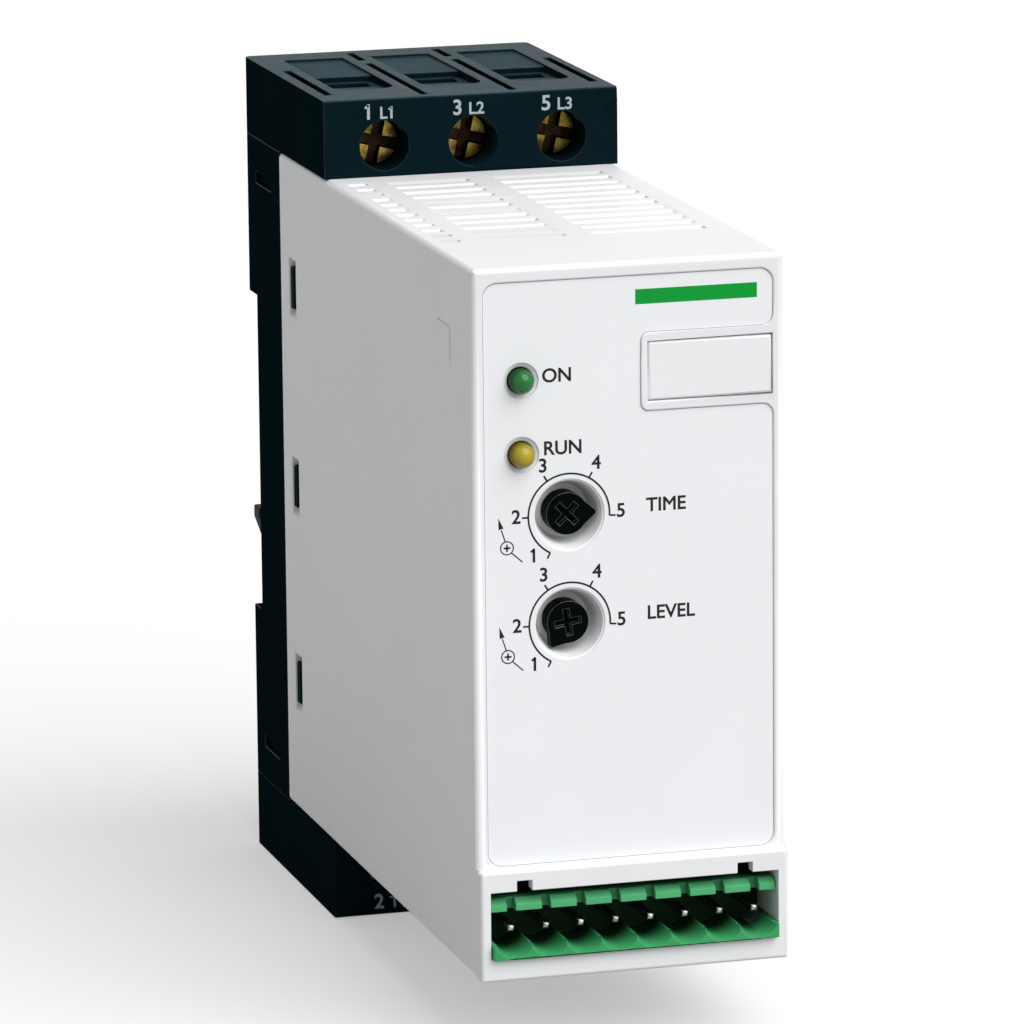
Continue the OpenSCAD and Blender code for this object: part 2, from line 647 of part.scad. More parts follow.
module front_cover() color([0.9, 0.9, 0.9]) difference() {
  union() {
    cover_shell();
    for (h = dial_heights)
      rod(dial_at, h, [well_floor - well_wall, panel_d - wall / 2], well_dia + 2 * well_wall);
    brick([plate_x[0] - 2, inner_w + 0.1], [panel_d - wall - 1.4, panel_d - wall / 2],
          [plate_z[0] - 2.4, plate_z[1] + 2.4]);
    for (p = control_posts) rod(p[0], p[1], [control_d[1], panel_d - wall / 2], post_dia);
  }
  for (p = control_posts) rod(p[0], p[1], [control_d[1] - over, control_d[1] + screw_bite], post_hole);
  vents();
  snap_heights() snap_window($h);
  forwards([label_d, panel_d + over]) label_shape(0.1);
  brick([plate_x[0] - fit_gap, plate_x[1] + fit_gap], [panel_d - plate_t - 0.2, panel_d + over],
        [plate_z[0] - fit_gap, plate_z[1] + fit_gap]);
  for (h = dial_heights) {
    rod(dial_at, h, [well_floor, panel_d], well_dia - 2 * well_draft, well_dia);
    rod(dial_at, h, [panel_d - 0.01, panel_d + over], well_dia);
    rod(dial_at, h, [well_floor - well_wall - over, well_floor + over], spindle_dia + 0.8);
  }
  for (h = lamp_heights) {
    rod(lamp_at, h, [panel_d - wall - over, panel_d + over], lamp_dia + fit_gap);
    rod(lamp_at, h, [label_d - dish_depth, label_d + 0.01], lamp_dia + fit_gap, dish_dia);
  }
  header_bay();
  // front edges of the panel and of the plug section
  for (side = [-1, 1]) {
    upwards([cover_h0 + section_h, body_h]) corner_cut([side * half_w, panel_d], [-side, -1], edge_r);
    upwards([0, cover_h0 + section_h + over])
      corner_cut([side * half_w, section_d], [-side, -1], edge_r * 0.6);
  }
  across([-half_w - over, half_w + over]) {
    corner_cut([panel_d, cover_h1], [-1, -1], edge_r);
    corner_cut([section_d, cover_h0 + section_h], [-1, -1], edge_r * 0.5);
    corner_cut([section_d, cover_h0], [-1, 1], edge_r * 0.6);
  }
  // fine corner mark on the left side
  mark_x = [-half_w - over, -half_w + 0.12];
  brick(mark_x, [panel_d - 17.5, panel_d - 11.1], [cover_h1 - 9.9, cover_h1 - 9.6]);
  brick(mark_x, [panel_d - 11.4, panel_d - 11.1], [cover_h1 - 14.8, cover_h1 - 9.6]);
}

module front_label() color([0.92, 0.92, 0.93]) difference() {
  forwards([label_d, label_d + label_t]) label_shape(0);
  for (h = dial_heights) rod(dial_at, h, [label_d - over, panel_d + over], well_dia + 0.3);
  for (h = lamp_heights) rod(lamp_at, h, [label_d - over, panel_d + over], dish_dia + 0.2);
}

module legend_plate() color([0.93, 0.93, 0.93]) difference() {
  brick(plate_x, [panel_d - plate_t - 0.2, panel_d - 0.1], plate_z);
  for (x = plate_x) upwards([0, body_h]) corner_cut([x, panel_d - 0.1], [x == plate_x[0] ? 1 : -1, -1], 0.4);
  for (h = plate_z) across([-half_w, half_w])
    corner_cut([panel_d - 0.1, h], [-1, h == plate_z[0] ? 1 : -1], 0.4);
}

// Lamps, dials and the potentiometers behind them
module lamp(h, shade) color(shade) {
  seat = panel_d - 3.6;
  rod(lamp_at, h, [seat, panel_d + lamp_proud], lamp_dia);
  rod(lamp_at, h, [seat - 0.8, seat], lamp_dia + 0.5);
  translate([lamp_at, at_y(panel_d + lamp_proud), at_z(h)]) sphere(d = lamp_dia);
  for (x = [lamp_at - 1.27, lamp_at + 1.27])
    brick([x - 0.25, x + 0.25], [control_d[1], seat - 0.7], [h - 0.25, h + 0.25]);
}
module led_green() lamp(lamp_heights[0], [0.1, 0.5, 0.2]);
module led_yellow() lamp(lamp_heights[1], [0.75, 0.65, 0.1]);

module potentiometer(h) color([0.12, 0.13, 0.14]) difference() {
  forwards([control_d[1], well_floor - well_wall - 0.2])
    round_panel([dial_at - 5, dial_at + 5], [h - 5, h + 5], 1);
  rod(dial_at, h, [control_d[1] + 0.8, well_floor], spindle_dia + 2 * run_gap);
}
module start_time_pot() potentiometer(dial_heights[0]);
module voltage_pot() potentiometer(dial_heights[1]);

module dial(h, turn) color([0.06, 0.09, 0.09]) {
  slot_w = 0.9;
  slot_l = 3.8;
  translate([dial_at, 0, at_z(h)]) rotate([0, -turn, 0]) {
    difference() {
      union() {
        translate([0, at_y(knob_d[0]), 0]) rotate([90, 0, 0])
          cylinder(h = knob_d[1] - knob_d[0], d = knob_dia);
        translate([0, at_y(pointer_d[0]), 0]) rotate([90, 0, 0]) linear_extrude(pointer_d[1] - pointer_d[0])
          polygon([[0, 0.1 - knob_dia / 2], [knob_dia / 4, 0.5 - knob_dia / 2], [pointer_r, -0.2],
                   [pointer_r, 0.2], [knob_dia / 4, knob_dia / 2 - 0.5], [0, knob_dia / 2 - 0.1]]);
      }
      for (cross = [45, 135]) rotate([0, cross, 0])
        translate([-slot_l / 2, at_y(knob_d[1] + over), -slot_w / 2]) cube([slot_l, over + 0.9, slot_w]);
    }
    translate([0, at_y(control_d[1] + 1), 0]) rotate([90, 0, 0])
      cylinder(h = knob_d[0] + 0.5 - control_d[1] - 1, d = spindle_dia);
  }
}
module start_time_dial() dial(dial_heights[0], 0);
module voltage_dial() dial(dial_heights[1], 234);

// Plug header: open at its ends, a keyed lip above and a round trough below each pin
pins = [for (i = [0:header_ways - 1]) (i - (header_ways - 1) / 2) * header_pitch];

module pin_holes(d) for (x = pins)
  brick([x - pin_side / 2 - run_gap, x + pin_side / 2 + run_gap], d,
        [pin_h - pin_side / 2 - run_gap, pin_h + pin_side / 2 + run_gap]);

module pin_header() color([0.15, 0.55, 0.3]) difference() {
  key_w = 1.3;
  key_d = 1.7;
  back = header_back + 1.6;
  lip_d = body_d - lip_set;
  lip_h = header_z[1] - header_lip;
  trough_h = header_z[0] + header_wall + trough_r;
  across([-header_x, header_x]) difference() {
    panel_shape([header_back, body_d], header_z);
    panel_shape([back, body_d + over], [header_z[0] + header_wall + trough_rise, lip_h]);
    panel_shape([lip_d, body_d + over], [lip_h - over, header_z[1] + over]);
    translate([header_back, header_z[1] - 0.9]) panel_shape([4, 6.4], [0, 2]);
    polygon([[lip_d - 1.1, header_z[1] + 0.01], [lip_d + 0.01, header_z[1] + 0.01],
             [lip_d + 0.01, header_z[1] - 0.8]]);
  }
  for (x = pins) {
    rod(x, trough_h, [back, body_d + over], 2 * trough_r);
    rod(x, trough_h, [body_d - 1.4, body_d + 0.01], 2 * trough_r, 2 * trough_r + 0.7);
    brick([x - key_w / 2, x + key_w / 2], [lip_d - key_d, body_d + over], [lip_h - over, header_z[1] + over]);
  }
  pin_holes([header_back - over, back + over]);
}

module header_pins() color([0.8, 0.8, 0.8]) for (x = pins)
  brick([x - pin_side / 2, x + pin_side / 2], [control_d[0] - 1.4, body_d - 2],
        [pin_h - pin_side / 2, pin_h + pin_side / 2]);

// Boards and what they carry
module board_holes(posts, d) for (p = posts) rod(p[0], p[1], d, board_hole);

module control_board() color([0.1, 0.35, 0.2]) difference() {
  brick([-control_half, control_half], control_d, control_h);
  board_holes(control_posts, [control_d[0] - over, control_d[1] + over]);
  pin_holes([control_d[0] - over, control_d[1] + over]);
}

module power_board() color([0.1, 0.35, 0.2]) difference() {
  brick([-power_half, power_half], power_d, power_h);
  board_holes(power_posts, [power_d[0] - over, power_d[1] + over]);
}

module power_board_screws() color([0.7, 0.7, 0.7])
  for (p = power_posts) {
    rod(p[0], p[1], [power_d[1], power_d[1] + screw_head], 2 * board_screw);
    rod(p[0], p[1], [power_d[0] - screw_bite, power_d[1] + 0.5], board_screw);
  }

module control_board_screws() color([0.7, 0.7, 0.7])
  for (p = control_posts) {
    rod(p[0], p[1], [control_d[0] - screw_head, control_d[0]], 2 * board_screw);
    rod(p[0], p[1], [control_d[0] - 0.5, control_d[1] + screw_bite - 0.5], board_screw);
  }

module link_board() color([0.1, 0.35, 0.2])
  brick([link_x, link_x + board_t], [power_d[1] + 1, control_d[0] - 1], link_h);

module link_socket(d, slot) color([0.13, 0.13, 0.14]) difference() {
  brick(socket_x, d, [link_h[0] - 1.2, link_h[1] + 1.2]);
  brick([link_x - 0.1, link_x + board_t + 0.1], slot, [link_h[0] - 0.1, link_h[1] + 0.1]);
}
module rear_socket()
  link_socket([power_d[1], power_d[1] + socket_d], [power_d[1] + 0.9, power_d[1] + socket_d + over]);
module front_socket()
  link_socket([control_d[0] - socket_d, control_d[0]], [control_d[0] - socket_d - over, control_d[0] - 0.9]);

module power_module(x) color([0.16, 0.16, 0.17]) difference() {
  brick([x, x + module_w], [power_d[1], sink_d[0]], module_h);
  rod(x + module_w / 2, mid_h, [power_d[1] + over, sink_d[0] + over], board_screw + 0.1);
  for (h = module_h) across([-half_w, half_w])
    corner_cut([power_d[1], h], [1, h == module_h[0] ? 1 : -1], 0.8);
}
module power_module_1() power_module(module_x[0]);
module power_module_2() power_module(module_x[1]);

module heat_sink() color([0.75, 0.76, 0.78]) difference() {
  fins = 8;
  gap = (sink_x[1] - sink_x[0] - fin_t) / (fins - 1);
  upwards([module_h[0] - 6, module_h[1] + 6]) {
    panel_shape(sink_x, sink_d);
    for (i = [0:fins - 1])
      panel_shape([sink_x[0] + i * gap, sink_x[0] + i * gap + fin_t], [sink_d[0], sink_d[1] + fin_reach]);
  }
  for (x = module_x) {
    rod(x + module_w / 2, mid_h, [sink_d[0] - over, sink_d[1] + over], board_hole);
    rod(x + module_w / 2, mid_h, [sink_d[1], sink_d[1] + fin_reach + over], 2 * board_screw + 1);
  }
}

module heat_sink_screws() color([0.7, 0.7, 0.7]) for (x = module_x) {
  rod(x + module_w / 2, mid_h, [sink_d[1], sink_d[1] + screw_head], 2 * board_screw);
  rod(x + module_w / 2, mid_h, [sink_d[0] - 5, sink_d[1] + 0.5], board_screw);
}

module bypass_relay(x) color([0.85, 0.85, 0.83]) {
  rim = 0.5;
  brick([x[0] + rim, x[1] - rim], [power_d[1], power_d[1] + relay_d], [relay_z[0] + rim, relay_z[1] - rim]);
  brick(x, [power_d[1], power_d[1] + 2], relay_z);
}
module bypass_relay_1() bypass_relay([1 - power_half, -2]);
module bypass_relay_2() bypass_relay([2, power_half - 1]);

module varistors() color([0.2, 0.35, 0.6]) for (x = [-disc_pitch, 0, disc_pitch]) {
  mid = [power_d[1] + disc_dia / 2 + 1.5, power_h[1] - disc_dia];
  translate([x - disc_t / 2, at_y(mid[0]), at_z(mid[1])]) rotate([0, 90, 0])
    cylinder(h = disc_t, d = disc_dia);
  for (h = [mid[1] - 2.5, mid[1] + 2.5])
    brick([x - 0.4, x + 0.4], [power_d[1], mid[0]], [h - 0.4, h + 0.4]);
}

module supply_transformer() color([0.3, 0.27, 0.2]) {
  half = transformer_w / 2;
  h = [control_h[1] - 2 - transformer_h, control_h[1] - 2];
  foot_d = control_d[0] - 3;
  rear_d = control_d[0] - transformer_d;
  brick([-half, half], [foot_d, control_d[0]], h);
  brick([-half, half], [rear_d, foot_d], [h[0] + 2, h[1] - 2]);
  brick([4 - half, half - 4], [rear_d + 1.5, foot_d], h);
}

module capacitors() color([0.15, 0.15, 0.3]) for (i = [0, 1])
  rod(5, control_h[0] + 19.8 + i * (can_dia + 3), [control_d[0] - can_l, control_d[0]], can_dia);

module control_chip() color([0.1, 0.1, 0.1]) {
  h = [mid_h + 2, mid_h + 14];
  brick([0, 12], [control_d[0] - 1.8, control_d[0] - 0.3], h);
  for (i = [0:7])
    brick([-1, 13], [control_d[0] - 0.6, control_d[0]], [h[0] + 0.75 + 1.4 * i, h[0] + 1.25 + 1.4 * i]);
}

base_housing();
upper_terminal_block();
lower_terminal_block();
front_cover();
front_label();
legend_plate();
led_green();
led_yellow();
start_time_pot();
voltage_pot();
start_time_dial();
voltage_dial();
control_board();
power_board();
link_board();
rear_socket();
front_socket();
pin_header();
header_pins();
din_clip();
clip_spring();
power_module_1();
power_module_2();
heat_sink();
heat_sink_screws();
bypass_relay_1();
bypass_relay_2();
varistors();
supply_transformer();
capacitors();
control_chip();
power_board_screws();
control_board_screws();
bus_bar(1);  // bus_bar_1
bus_bar(2);  // bus_bar_2
bus_bar(3);  // bus_bar_3
bus_bar(4);  // bus_bar_4
bus_bar(5);  // bus_bar_5
bus_bar(6);  // bus_bar_6
wire_clamp(1);  // wire_clamp_1
wire_clamp(2);  // wire_clamp_2
wire_clamp(3);  // wire_clamp_3
wire_clamp(4);  // wire_clamp_4
wire_clamp(5);  // wire_clamp_5
wire_clamp(6);  // wire_clamp_6
terminal_screw(1);  // terminal_screw_1
terminal_screw(2);  // terminal_screw_2
terminal_screw(3);  // terminal_screw_3
terminal_screw(4);  // terminal_screw_4
terminal_screw(5);  // terminal_screw_5
terminal_screw(6);  // terminal_screw_6
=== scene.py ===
import json
import math

import bmesh
import bpy
from mathutils import Matrix, Vector


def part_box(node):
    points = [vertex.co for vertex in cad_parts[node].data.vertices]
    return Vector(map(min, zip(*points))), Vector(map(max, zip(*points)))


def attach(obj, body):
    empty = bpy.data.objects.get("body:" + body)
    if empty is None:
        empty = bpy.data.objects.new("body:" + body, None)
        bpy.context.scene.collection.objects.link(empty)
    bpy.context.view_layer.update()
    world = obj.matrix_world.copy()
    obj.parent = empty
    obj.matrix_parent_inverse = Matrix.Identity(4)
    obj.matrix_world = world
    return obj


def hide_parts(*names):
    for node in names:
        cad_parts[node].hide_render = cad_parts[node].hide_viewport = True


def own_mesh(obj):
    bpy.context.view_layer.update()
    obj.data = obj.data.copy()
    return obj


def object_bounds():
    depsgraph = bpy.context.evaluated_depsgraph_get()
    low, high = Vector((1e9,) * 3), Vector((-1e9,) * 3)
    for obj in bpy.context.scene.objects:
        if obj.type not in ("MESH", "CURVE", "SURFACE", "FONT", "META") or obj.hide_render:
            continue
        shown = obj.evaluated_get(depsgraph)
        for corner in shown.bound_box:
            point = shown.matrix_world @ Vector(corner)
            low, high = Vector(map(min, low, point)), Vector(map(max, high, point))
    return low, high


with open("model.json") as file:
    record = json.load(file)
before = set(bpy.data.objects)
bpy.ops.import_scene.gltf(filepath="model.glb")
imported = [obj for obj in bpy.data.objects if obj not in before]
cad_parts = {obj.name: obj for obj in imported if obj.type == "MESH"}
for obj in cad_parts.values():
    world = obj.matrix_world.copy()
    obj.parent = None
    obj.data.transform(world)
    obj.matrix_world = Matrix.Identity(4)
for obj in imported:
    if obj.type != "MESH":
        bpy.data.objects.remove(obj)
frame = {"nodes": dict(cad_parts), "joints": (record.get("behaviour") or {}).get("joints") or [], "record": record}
cadBounds = [list(corner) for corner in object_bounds()]
nodes = frame["nodes"]
joints = {joint["name"]: joint for joint in frame["joints"]}
bodies = frame["record"]["behaviour"]["bodies"]
bodyOf = {node: body for body, members in bodies.items() for node in members}
slotOf = {part["node"]: part["material_slot"] for part in frame["record"]["subparts"]}
scene = bpy.context.scene
mm = 0.001
hair = 0.001 * mm                            # points this close are taken as one
print("frame loaded:", len(nodes), "nodes")


# small helpers for node trees

def startMaterial(name):
    material = bpy.data.materials.new(name)
    material.use_nodes = True
    tree = material.node_tree
    return material, tree, tree.nodes["Principled BSDF"]


def addNode(tree, kind, inputs=None, **settings):
    node = tree.nodes.new(kind)
    for key, value in (inputs or {}).items():
        node.inputs[key].default_value = value
    for key, value in settings.items():
        setattr(node, key, value)
    return node


def addRamp(tree, stops):
    ramp = tree.nodes.new("ShaderNodeValToRGB")
    for element, (place, color) in zip(ramp.color_ramp.elements, stops):
        element.position = place
        element.color = (*color, 1)
    return ramp


def stretched(tree, scale):
    coords = addNode(tree, "ShaderNodeTexCoord")
    mapping = addNode(tree, "ShaderNodeMapping", {"Scale": scale})
    tree.links.new(coords.outputs["Object"], mapping.inputs["Vector"])
    return mapping.outputs["Vector"]


# colour that fades along one axis, as painted shade: deeper into the header, towards the lens rims, and on the
# screws further right

def fadedColor(tree, color, fade, axis="Y"):
    coords = addNode(tree, "ShaderNodeTexCoord")
    axes = addNode(tree, "ShaderNodeSeparateXYZ")
    depth = addNode(tree, "ShaderNodeMapRange",
                    {"From Min": fade[0], "From Max": fade[1], "To Min": fade[2], "To Max": fade[3]})
    faded = addNode(tree, "ShaderNodeVectorMath", operation="SCALE")
    tree.links.new(coords.outputs["Object"], axes.inputs["Vector"])
    tree.links.new(axes.outputs[axis], depth.inputs["Value"])
    tree.links.new(color, faded.inputs["Vector"])
    tree.links.new(depth.outputs["Result"], faded.inputs["Scale"])
    return faded.outputs["Vector"]


# uneven sheen and fine relief from a texture

noiseEnds = (0.3, 0.7)


def addSheen(tree, shader, texture, gloss):
    sheen = addNode(tree, "ShaderNodeMapRange", {"From Min": noiseEnds[0], "From Max": noiseEnds[1],
                                                 "To Min": gloss[0], "To Max": gloss[1]})
    tree.links.new(texture.outputs["Fac"], sheen.inputs["Value"])
    tree.links.new(sheen.outputs["Result"], shader.inputs["Roughness"])


def addRelief(tree, shader, texture, strength, depth):
    bump = addNode(tree, "ShaderNodeBump", {"Strength": strength, "Distance": depth * mm})
    tree.links.new(texture.outputs["Fac"], bump.inputs["Height"])
    tree.links.new(bump.outputs["Normal"], shader.inputs["Normal"])


# moulded plastic: slow colour drift, spark-eroded grain and uneven sheen

plasticSpec = {"drift": 55, "detail": 3, "grainRoughness": 0.65, "fleck": 0.22, "fleckDetail": 2,
               "relief": 0.04}


def mouldedPlastic(name, look):
    material, tree, shader = startMaterial(name)
    link = tree.links.new
    place = stretched(tree, (1, 1, 1))
    drift = addNode(tree, "ShaderNodeTexNoise", {"Scale": look.get("drift", plasticSpec["drift"]),
                                                 "Detail": plasticSpec["detail"]})
    grain = addNode(tree, "ShaderNodeTexNoise", {"Scale": look["grain"], "Detail": plasticSpec["detail"],
                                                 "Roughness": plasticSpec["grainRoughness"]})
    fleck = addNode(tree, "ShaderNodeTexNoise", {"Scale": look["grain"] * plasticSpec["fleck"],
                                                 "Detail": plasticSpec["fleckDetail"]})
    for texture in (drift, grain, fleck):
        link(place, texture.inputs["Vector"])
    tint = addRamp(tree, zip(noiseEnds, (look["shade"], look["color"])))
    link(drift.outputs["Fac"], tint.inputs["Fac"])
    color = tint.outputs["Color"]
    # a fade darkens the colour along an axis: painted shade
    if "fade" in look:
        color = fadedColor(tree, color, look["fade"])
    link(color, shader.inputs["Base Color"])
    addSheen(tree, shader, fleck, look["gloss"])
    addRelief(tree, shader, grain, look["bump"], plasticSpec["relief"])
    shader.inputs["Specular IOR Level"].default_value = look["specular"]
    return material


# metal: fine drawn lines along one axis, with a little tarnish; on the screws its dark patches are painted
# reflection, and a fade adds painted shade

metalSpec = {"lineDetail": 4, "tarnishAndReflection": 900, "tarnishAndReflectionDetail": 3, "stops": (0.32, 0.62), "bump": 0.2,
             "relief": 0.02}


def drawnMetal(name, look):
    material, tree, shader = startMaterial(name)
    link = tree.links.new
    lines = addNode(tree, "ShaderNodeTexNoise", {"Scale": 1, "Detail": metalSpec["lineDetail"]})
    link(stretched(tree, look["lines"]), lines.inputs["Vector"])
    tarnishAndReflection = addNode(tree, "ShaderNodeTexNoise", {"Scale": look.get("tarnishAndReflection", metalSpec["tarnishAndReflection"]),
                                                   "Detail": metalSpec["tarnishAndReflectionDetail"]})
    link(stretched(tree, (1, 1, 1)), tarnishAndReflection.inputs["Vector"])
    stops = look.get("stops", metalSpec["stops"])
    tint = addRamp(tree, zip(stops, (look["shade"], look["color"])))
    link(tarnishAndReflection.outputs["Fac"], tint.inputs["Fac"])
    color = tint.outputs["Color"]
    for axis, fade in look.get("fades", {}).items():
        color = fadedColor(tree, color, fade, axis)
    link(color, shader.inputs["Base Color"])
    addSheen(tree, shader, lines, look["gloss"])
    addRelief(tree, shader, lines, look.get("bump", metalSpec["bump"]), metalSpec["relief"])
    shader.inputs["Metallic"].default_value = 1
    return material


# printed ink: thin, slightly uneven coverage

inkSpec = {"cover": 2600, "detail": 2, "stops": (0.25, 0.6), "specular": 0.12}


def ink(name, look):
    material, tree, shader = startMaterial(name)
    link = tree.links.new
    cover = addNode(tree, "ShaderNodeTexNoise", {"Scale": inkSpec["cover"], "Detail": inkSpec["detail"]})
    link(stretched(tree, (1, 1, 1)), cover.inputs["Vector"])
    tint = addRamp(tree, zip(inkSpec["stops"], (look["shade"], look["color"])))
    link(cover.outputs["Fac"], tint.inputs["Fac"])
    link(tint.outputs["Color"], shader.inputs["Base Color"])
    shader.inputs["Roughness"].default_value = look["roughness"]
    shader.inputs["Specular IOR Level"].default_value = inkSpec["specular"]
    return material


# lamp lens: tinted resin with painted shade towards its rim, a clear skin and a cloudy heart

resinSpec = {"cloud": 700, "detail": 2, "stops": (0.3, 0.65), "fade": (-0.1250, -0.1231, 1, 0.2),
             "skin": {"Roughness": 0.22, "Transmission Weight": 0.1, "Specular IOR Level": 0.05,
                      "Coat Roughness": 0.05, "Coat IOR": 1.4}}


def lampResin(name, look):
    material, tree, shader = startMaterial(name)
    link = tree.links.new
    cloud = addNode(tree, "ShaderNodeTexNoise", {"Scale": resinSpec["cloud"],
                                                 "Detail": resinSpec["detail"]})
    link(stretched(tree, (1, 1, 1)), cloud.inputs["Vector"])
    tint = addRamp(tree, zip(resinSpec["stops"], (look["shade"], look["color"])))
    link(cloud.outputs["Fac"], tint.inputs["Fac"])
    link(fadedColor(tree, tint.outputs["Color"], resinSpec["fade"]), shader.inputs["Base Color"])
    for key, value in resinSpec["skin"].items():
        shader.inputs[key].default_value = value
    shader.inputs["Coat Weight"].default_value = look["coat"]
    return material


# board laminate: solder mask over tracks, with tinned pads

boardLook = {"tracks": {"Scale": 160, "Mortar Size": 0.03, "Bias": -0.2}, "pads": 300, "padSize": 0.16,
             "mask": (0.012, 0.14, 0.05), "track": (0.02, 0.2, 0.075), "gap": (0.01, 0.1, 0.035),
             "pad": (0.72, 0.7, 0.62), "bump": 0.35, "relief": 0.06, "roughness": 0.35}


def boardLaminate(name, look):
    material, tree, shader = startMaterial(name)
    link = tree.links.new
    place = stretched(tree, (1, 1, 1))
    tracks = addNode(tree, "ShaderNodeTexBrick", look["tracks"])
    link(place, tracks.inputs["Vector"])
    for key, value in (("Color1", look["mask"]), ("Color2", look["track"]), ("Mortar", look["gap"])):
        tracks.inputs[key].default_value = (*value, 1)
    pads = addNode(tree, "ShaderNodeTexVoronoi", {"Scale": look["pads"]})
    link(place, pads.inputs["Vector"])
    isPad = addNode(tree, "ShaderNodeMath", {1: look["padSize"]}, operation="LESS_THAN")
    link(pads.outputs["Distance"], isPad.inputs[0])
    color = addNode(tree, "ShaderNodeMix", data_type="RGBA")
    link(isPad.outputs[0], color.inputs["Factor"])
    link(tracks.outputs["Color"], color.inputs["A"])
    color.inputs["B"].default_value = (*look["pad"], 1)
    link(color.outputs["Result"], shader.inputs["Base Color"])
    link(isPad.outputs[0], shader.inputs["Metallic"])
    addRelief(tree, shader, tracks, look["bump"], look["relief"])
    shader.inputs["Roughness"].default_value = look["roughness"]
    return material


plasticLooks = {
    "basePlastic": {"color": (0.0036, 0.0125, 0.0160), "shade": (0.0029, 0.0105, 0.0138), "grain": 2600,
                    "bump": 0.16, "gloss": (0.5, 0.6), "specular": 0},
    # painted light: lighter copies of the base plastic on its ends, less on its recessed trays, as highlights on
    # its edges, and on its rear, right and lower faces
    "baseEndPaintedLight": {"color": (0.032, 0.055, 0.062), "shade": (0.024, 0.044, 0.051), "grain": 3200,
                  "bump": 0.2, "drift": 130, "gloss": (0.5, 0.6), "specular": 0.05},
    "baseTrayPaintedLight": {"color": (0.015, 0.040, 0.051), "shade": (0.011, 0.032, 0.041), "grain": 3200, "bump": 0.2,
                 "drift": 130, "gloss": (0.5, 0.6), "specular": 0.02},
    "baseEdgeHighlight": {"color": (0.013, 0.025, 0.029), "shade": (0.008, 0.018, 0.022), "grain": 3200, "bump": 0.2,
                 "drift": 200, "gloss": (0.4, 0.5), "specular": 0.06},
    "baseRearPaintedLight": {"color": (0.0085, 0.0185, 0.0225), "shade": (0.0065, 0.0155, 0.019), "grain": 2600,
                 "bump": 0.18, "gloss": (0.42, 0.55), "specular": 0.14},
    "coverPlastic": {"color": (0.83, 0.835, 0.85), "shade": (0.81, 0.815, 0.83), "grain": 3000, "bump": 0.1,
                     "gloss": (0.4, 0.5), "specular": 0.35},
    "labelFilm": {"color": (0.865, 0.88, 0.9), "shade": (0.85, 0.865, 0.885), "grain": 4200, "bump": 0.05,
                  "gloss": (0.34, 0.42), "specular": 0.35},
    "platePlastic": {"color": (0.86, 0.865, 0.885), "shade": (0.845, 0.85, 0.87), "grain": 3000,
                     "bump": 0.08, "gloss": (0.36, 0.46), "specular": 0.35},
    "knobPlastic": {"color": (0.0020, 0.0040, 0.0028), "shade": (0.0012, 0.0025, 0.0018), "grain": 1500,
                    "bump": 0.12, "gloss": (0.2, 0.3), "specular": 0.006},
    # knob front edges, paler and glossier: a painted highlight
    "knobEdgeHighlight": {"color": (0.035, 0.042, 0.036), "shade": (0.006, 0.008, 0.007), "grain": 2200, "bump": 0.1,
                 "drift": 900, "gloss": (0.1, 0.2), "specular": 0.8},
    # header: its colour fades darker deeper inside, and its trough is a darker copy, as painted shade
    "headerPlastic": {"color": (0.1, 0.47, 0.2), "shade": (0.086, 0.42, 0.175), "grain": 2800, "bump": 0.12,
                      "gloss": (0.34, 0.46), "specular": 0.1, "fade": (-0.1238, -0.1198, 1, 0.06)},
    "headerTroughShade": {"color": (0.055, 0.36, 0.13), "shade": (0.045, 0.31, 0.11), "grain": 2800,
                     "bump": 0.12, "gloss": (0.34, 0.46), "specular": 0.1,
                     "fade": (-0.1238, -0.1188, 1, 0.06)},
    "clipPlastic": {"color": (0.013, 0.015, 0.017), "shade": (0.010, 0.012, 0.013), "grain": 2400,
                    "bump": 0.2, "gloss": (0.45, 0.55), "specular": 0.03},
    "blackPlastic": {"color": (0.014, 0.014, 0.016), "shade": (0.01, 0.01, 0.011), "grain": 2600,
                     "bump": 0.2, "gloss": (0.4, 0.55), "specular": 0.4},
    "relayPlastic": {"color": (0.62, 0.6, 0.55), "shade": (0.57, 0.55, 0.5), "grain": 2600, "bump": 0.12,
                     "gloss": (0.35, 0.45), "specular": 0.4},
    "discCoating": {"color": (0.02, 0.06, 0.26), "shade": (0.012, 0.04, 0.2), "grain": 900, "bump": 0.4,
                    "gloss": (0.25, 0.4), "specular": 0.5},
    "canSleeve": {"color": (0.016, 0.018, 0.05), "shade": (0.01, 0.012, 0.035), "grain": 1800, "bump": 0.1,
                  "gloss": (0.22, 0.32), "specular": 0.5},
}
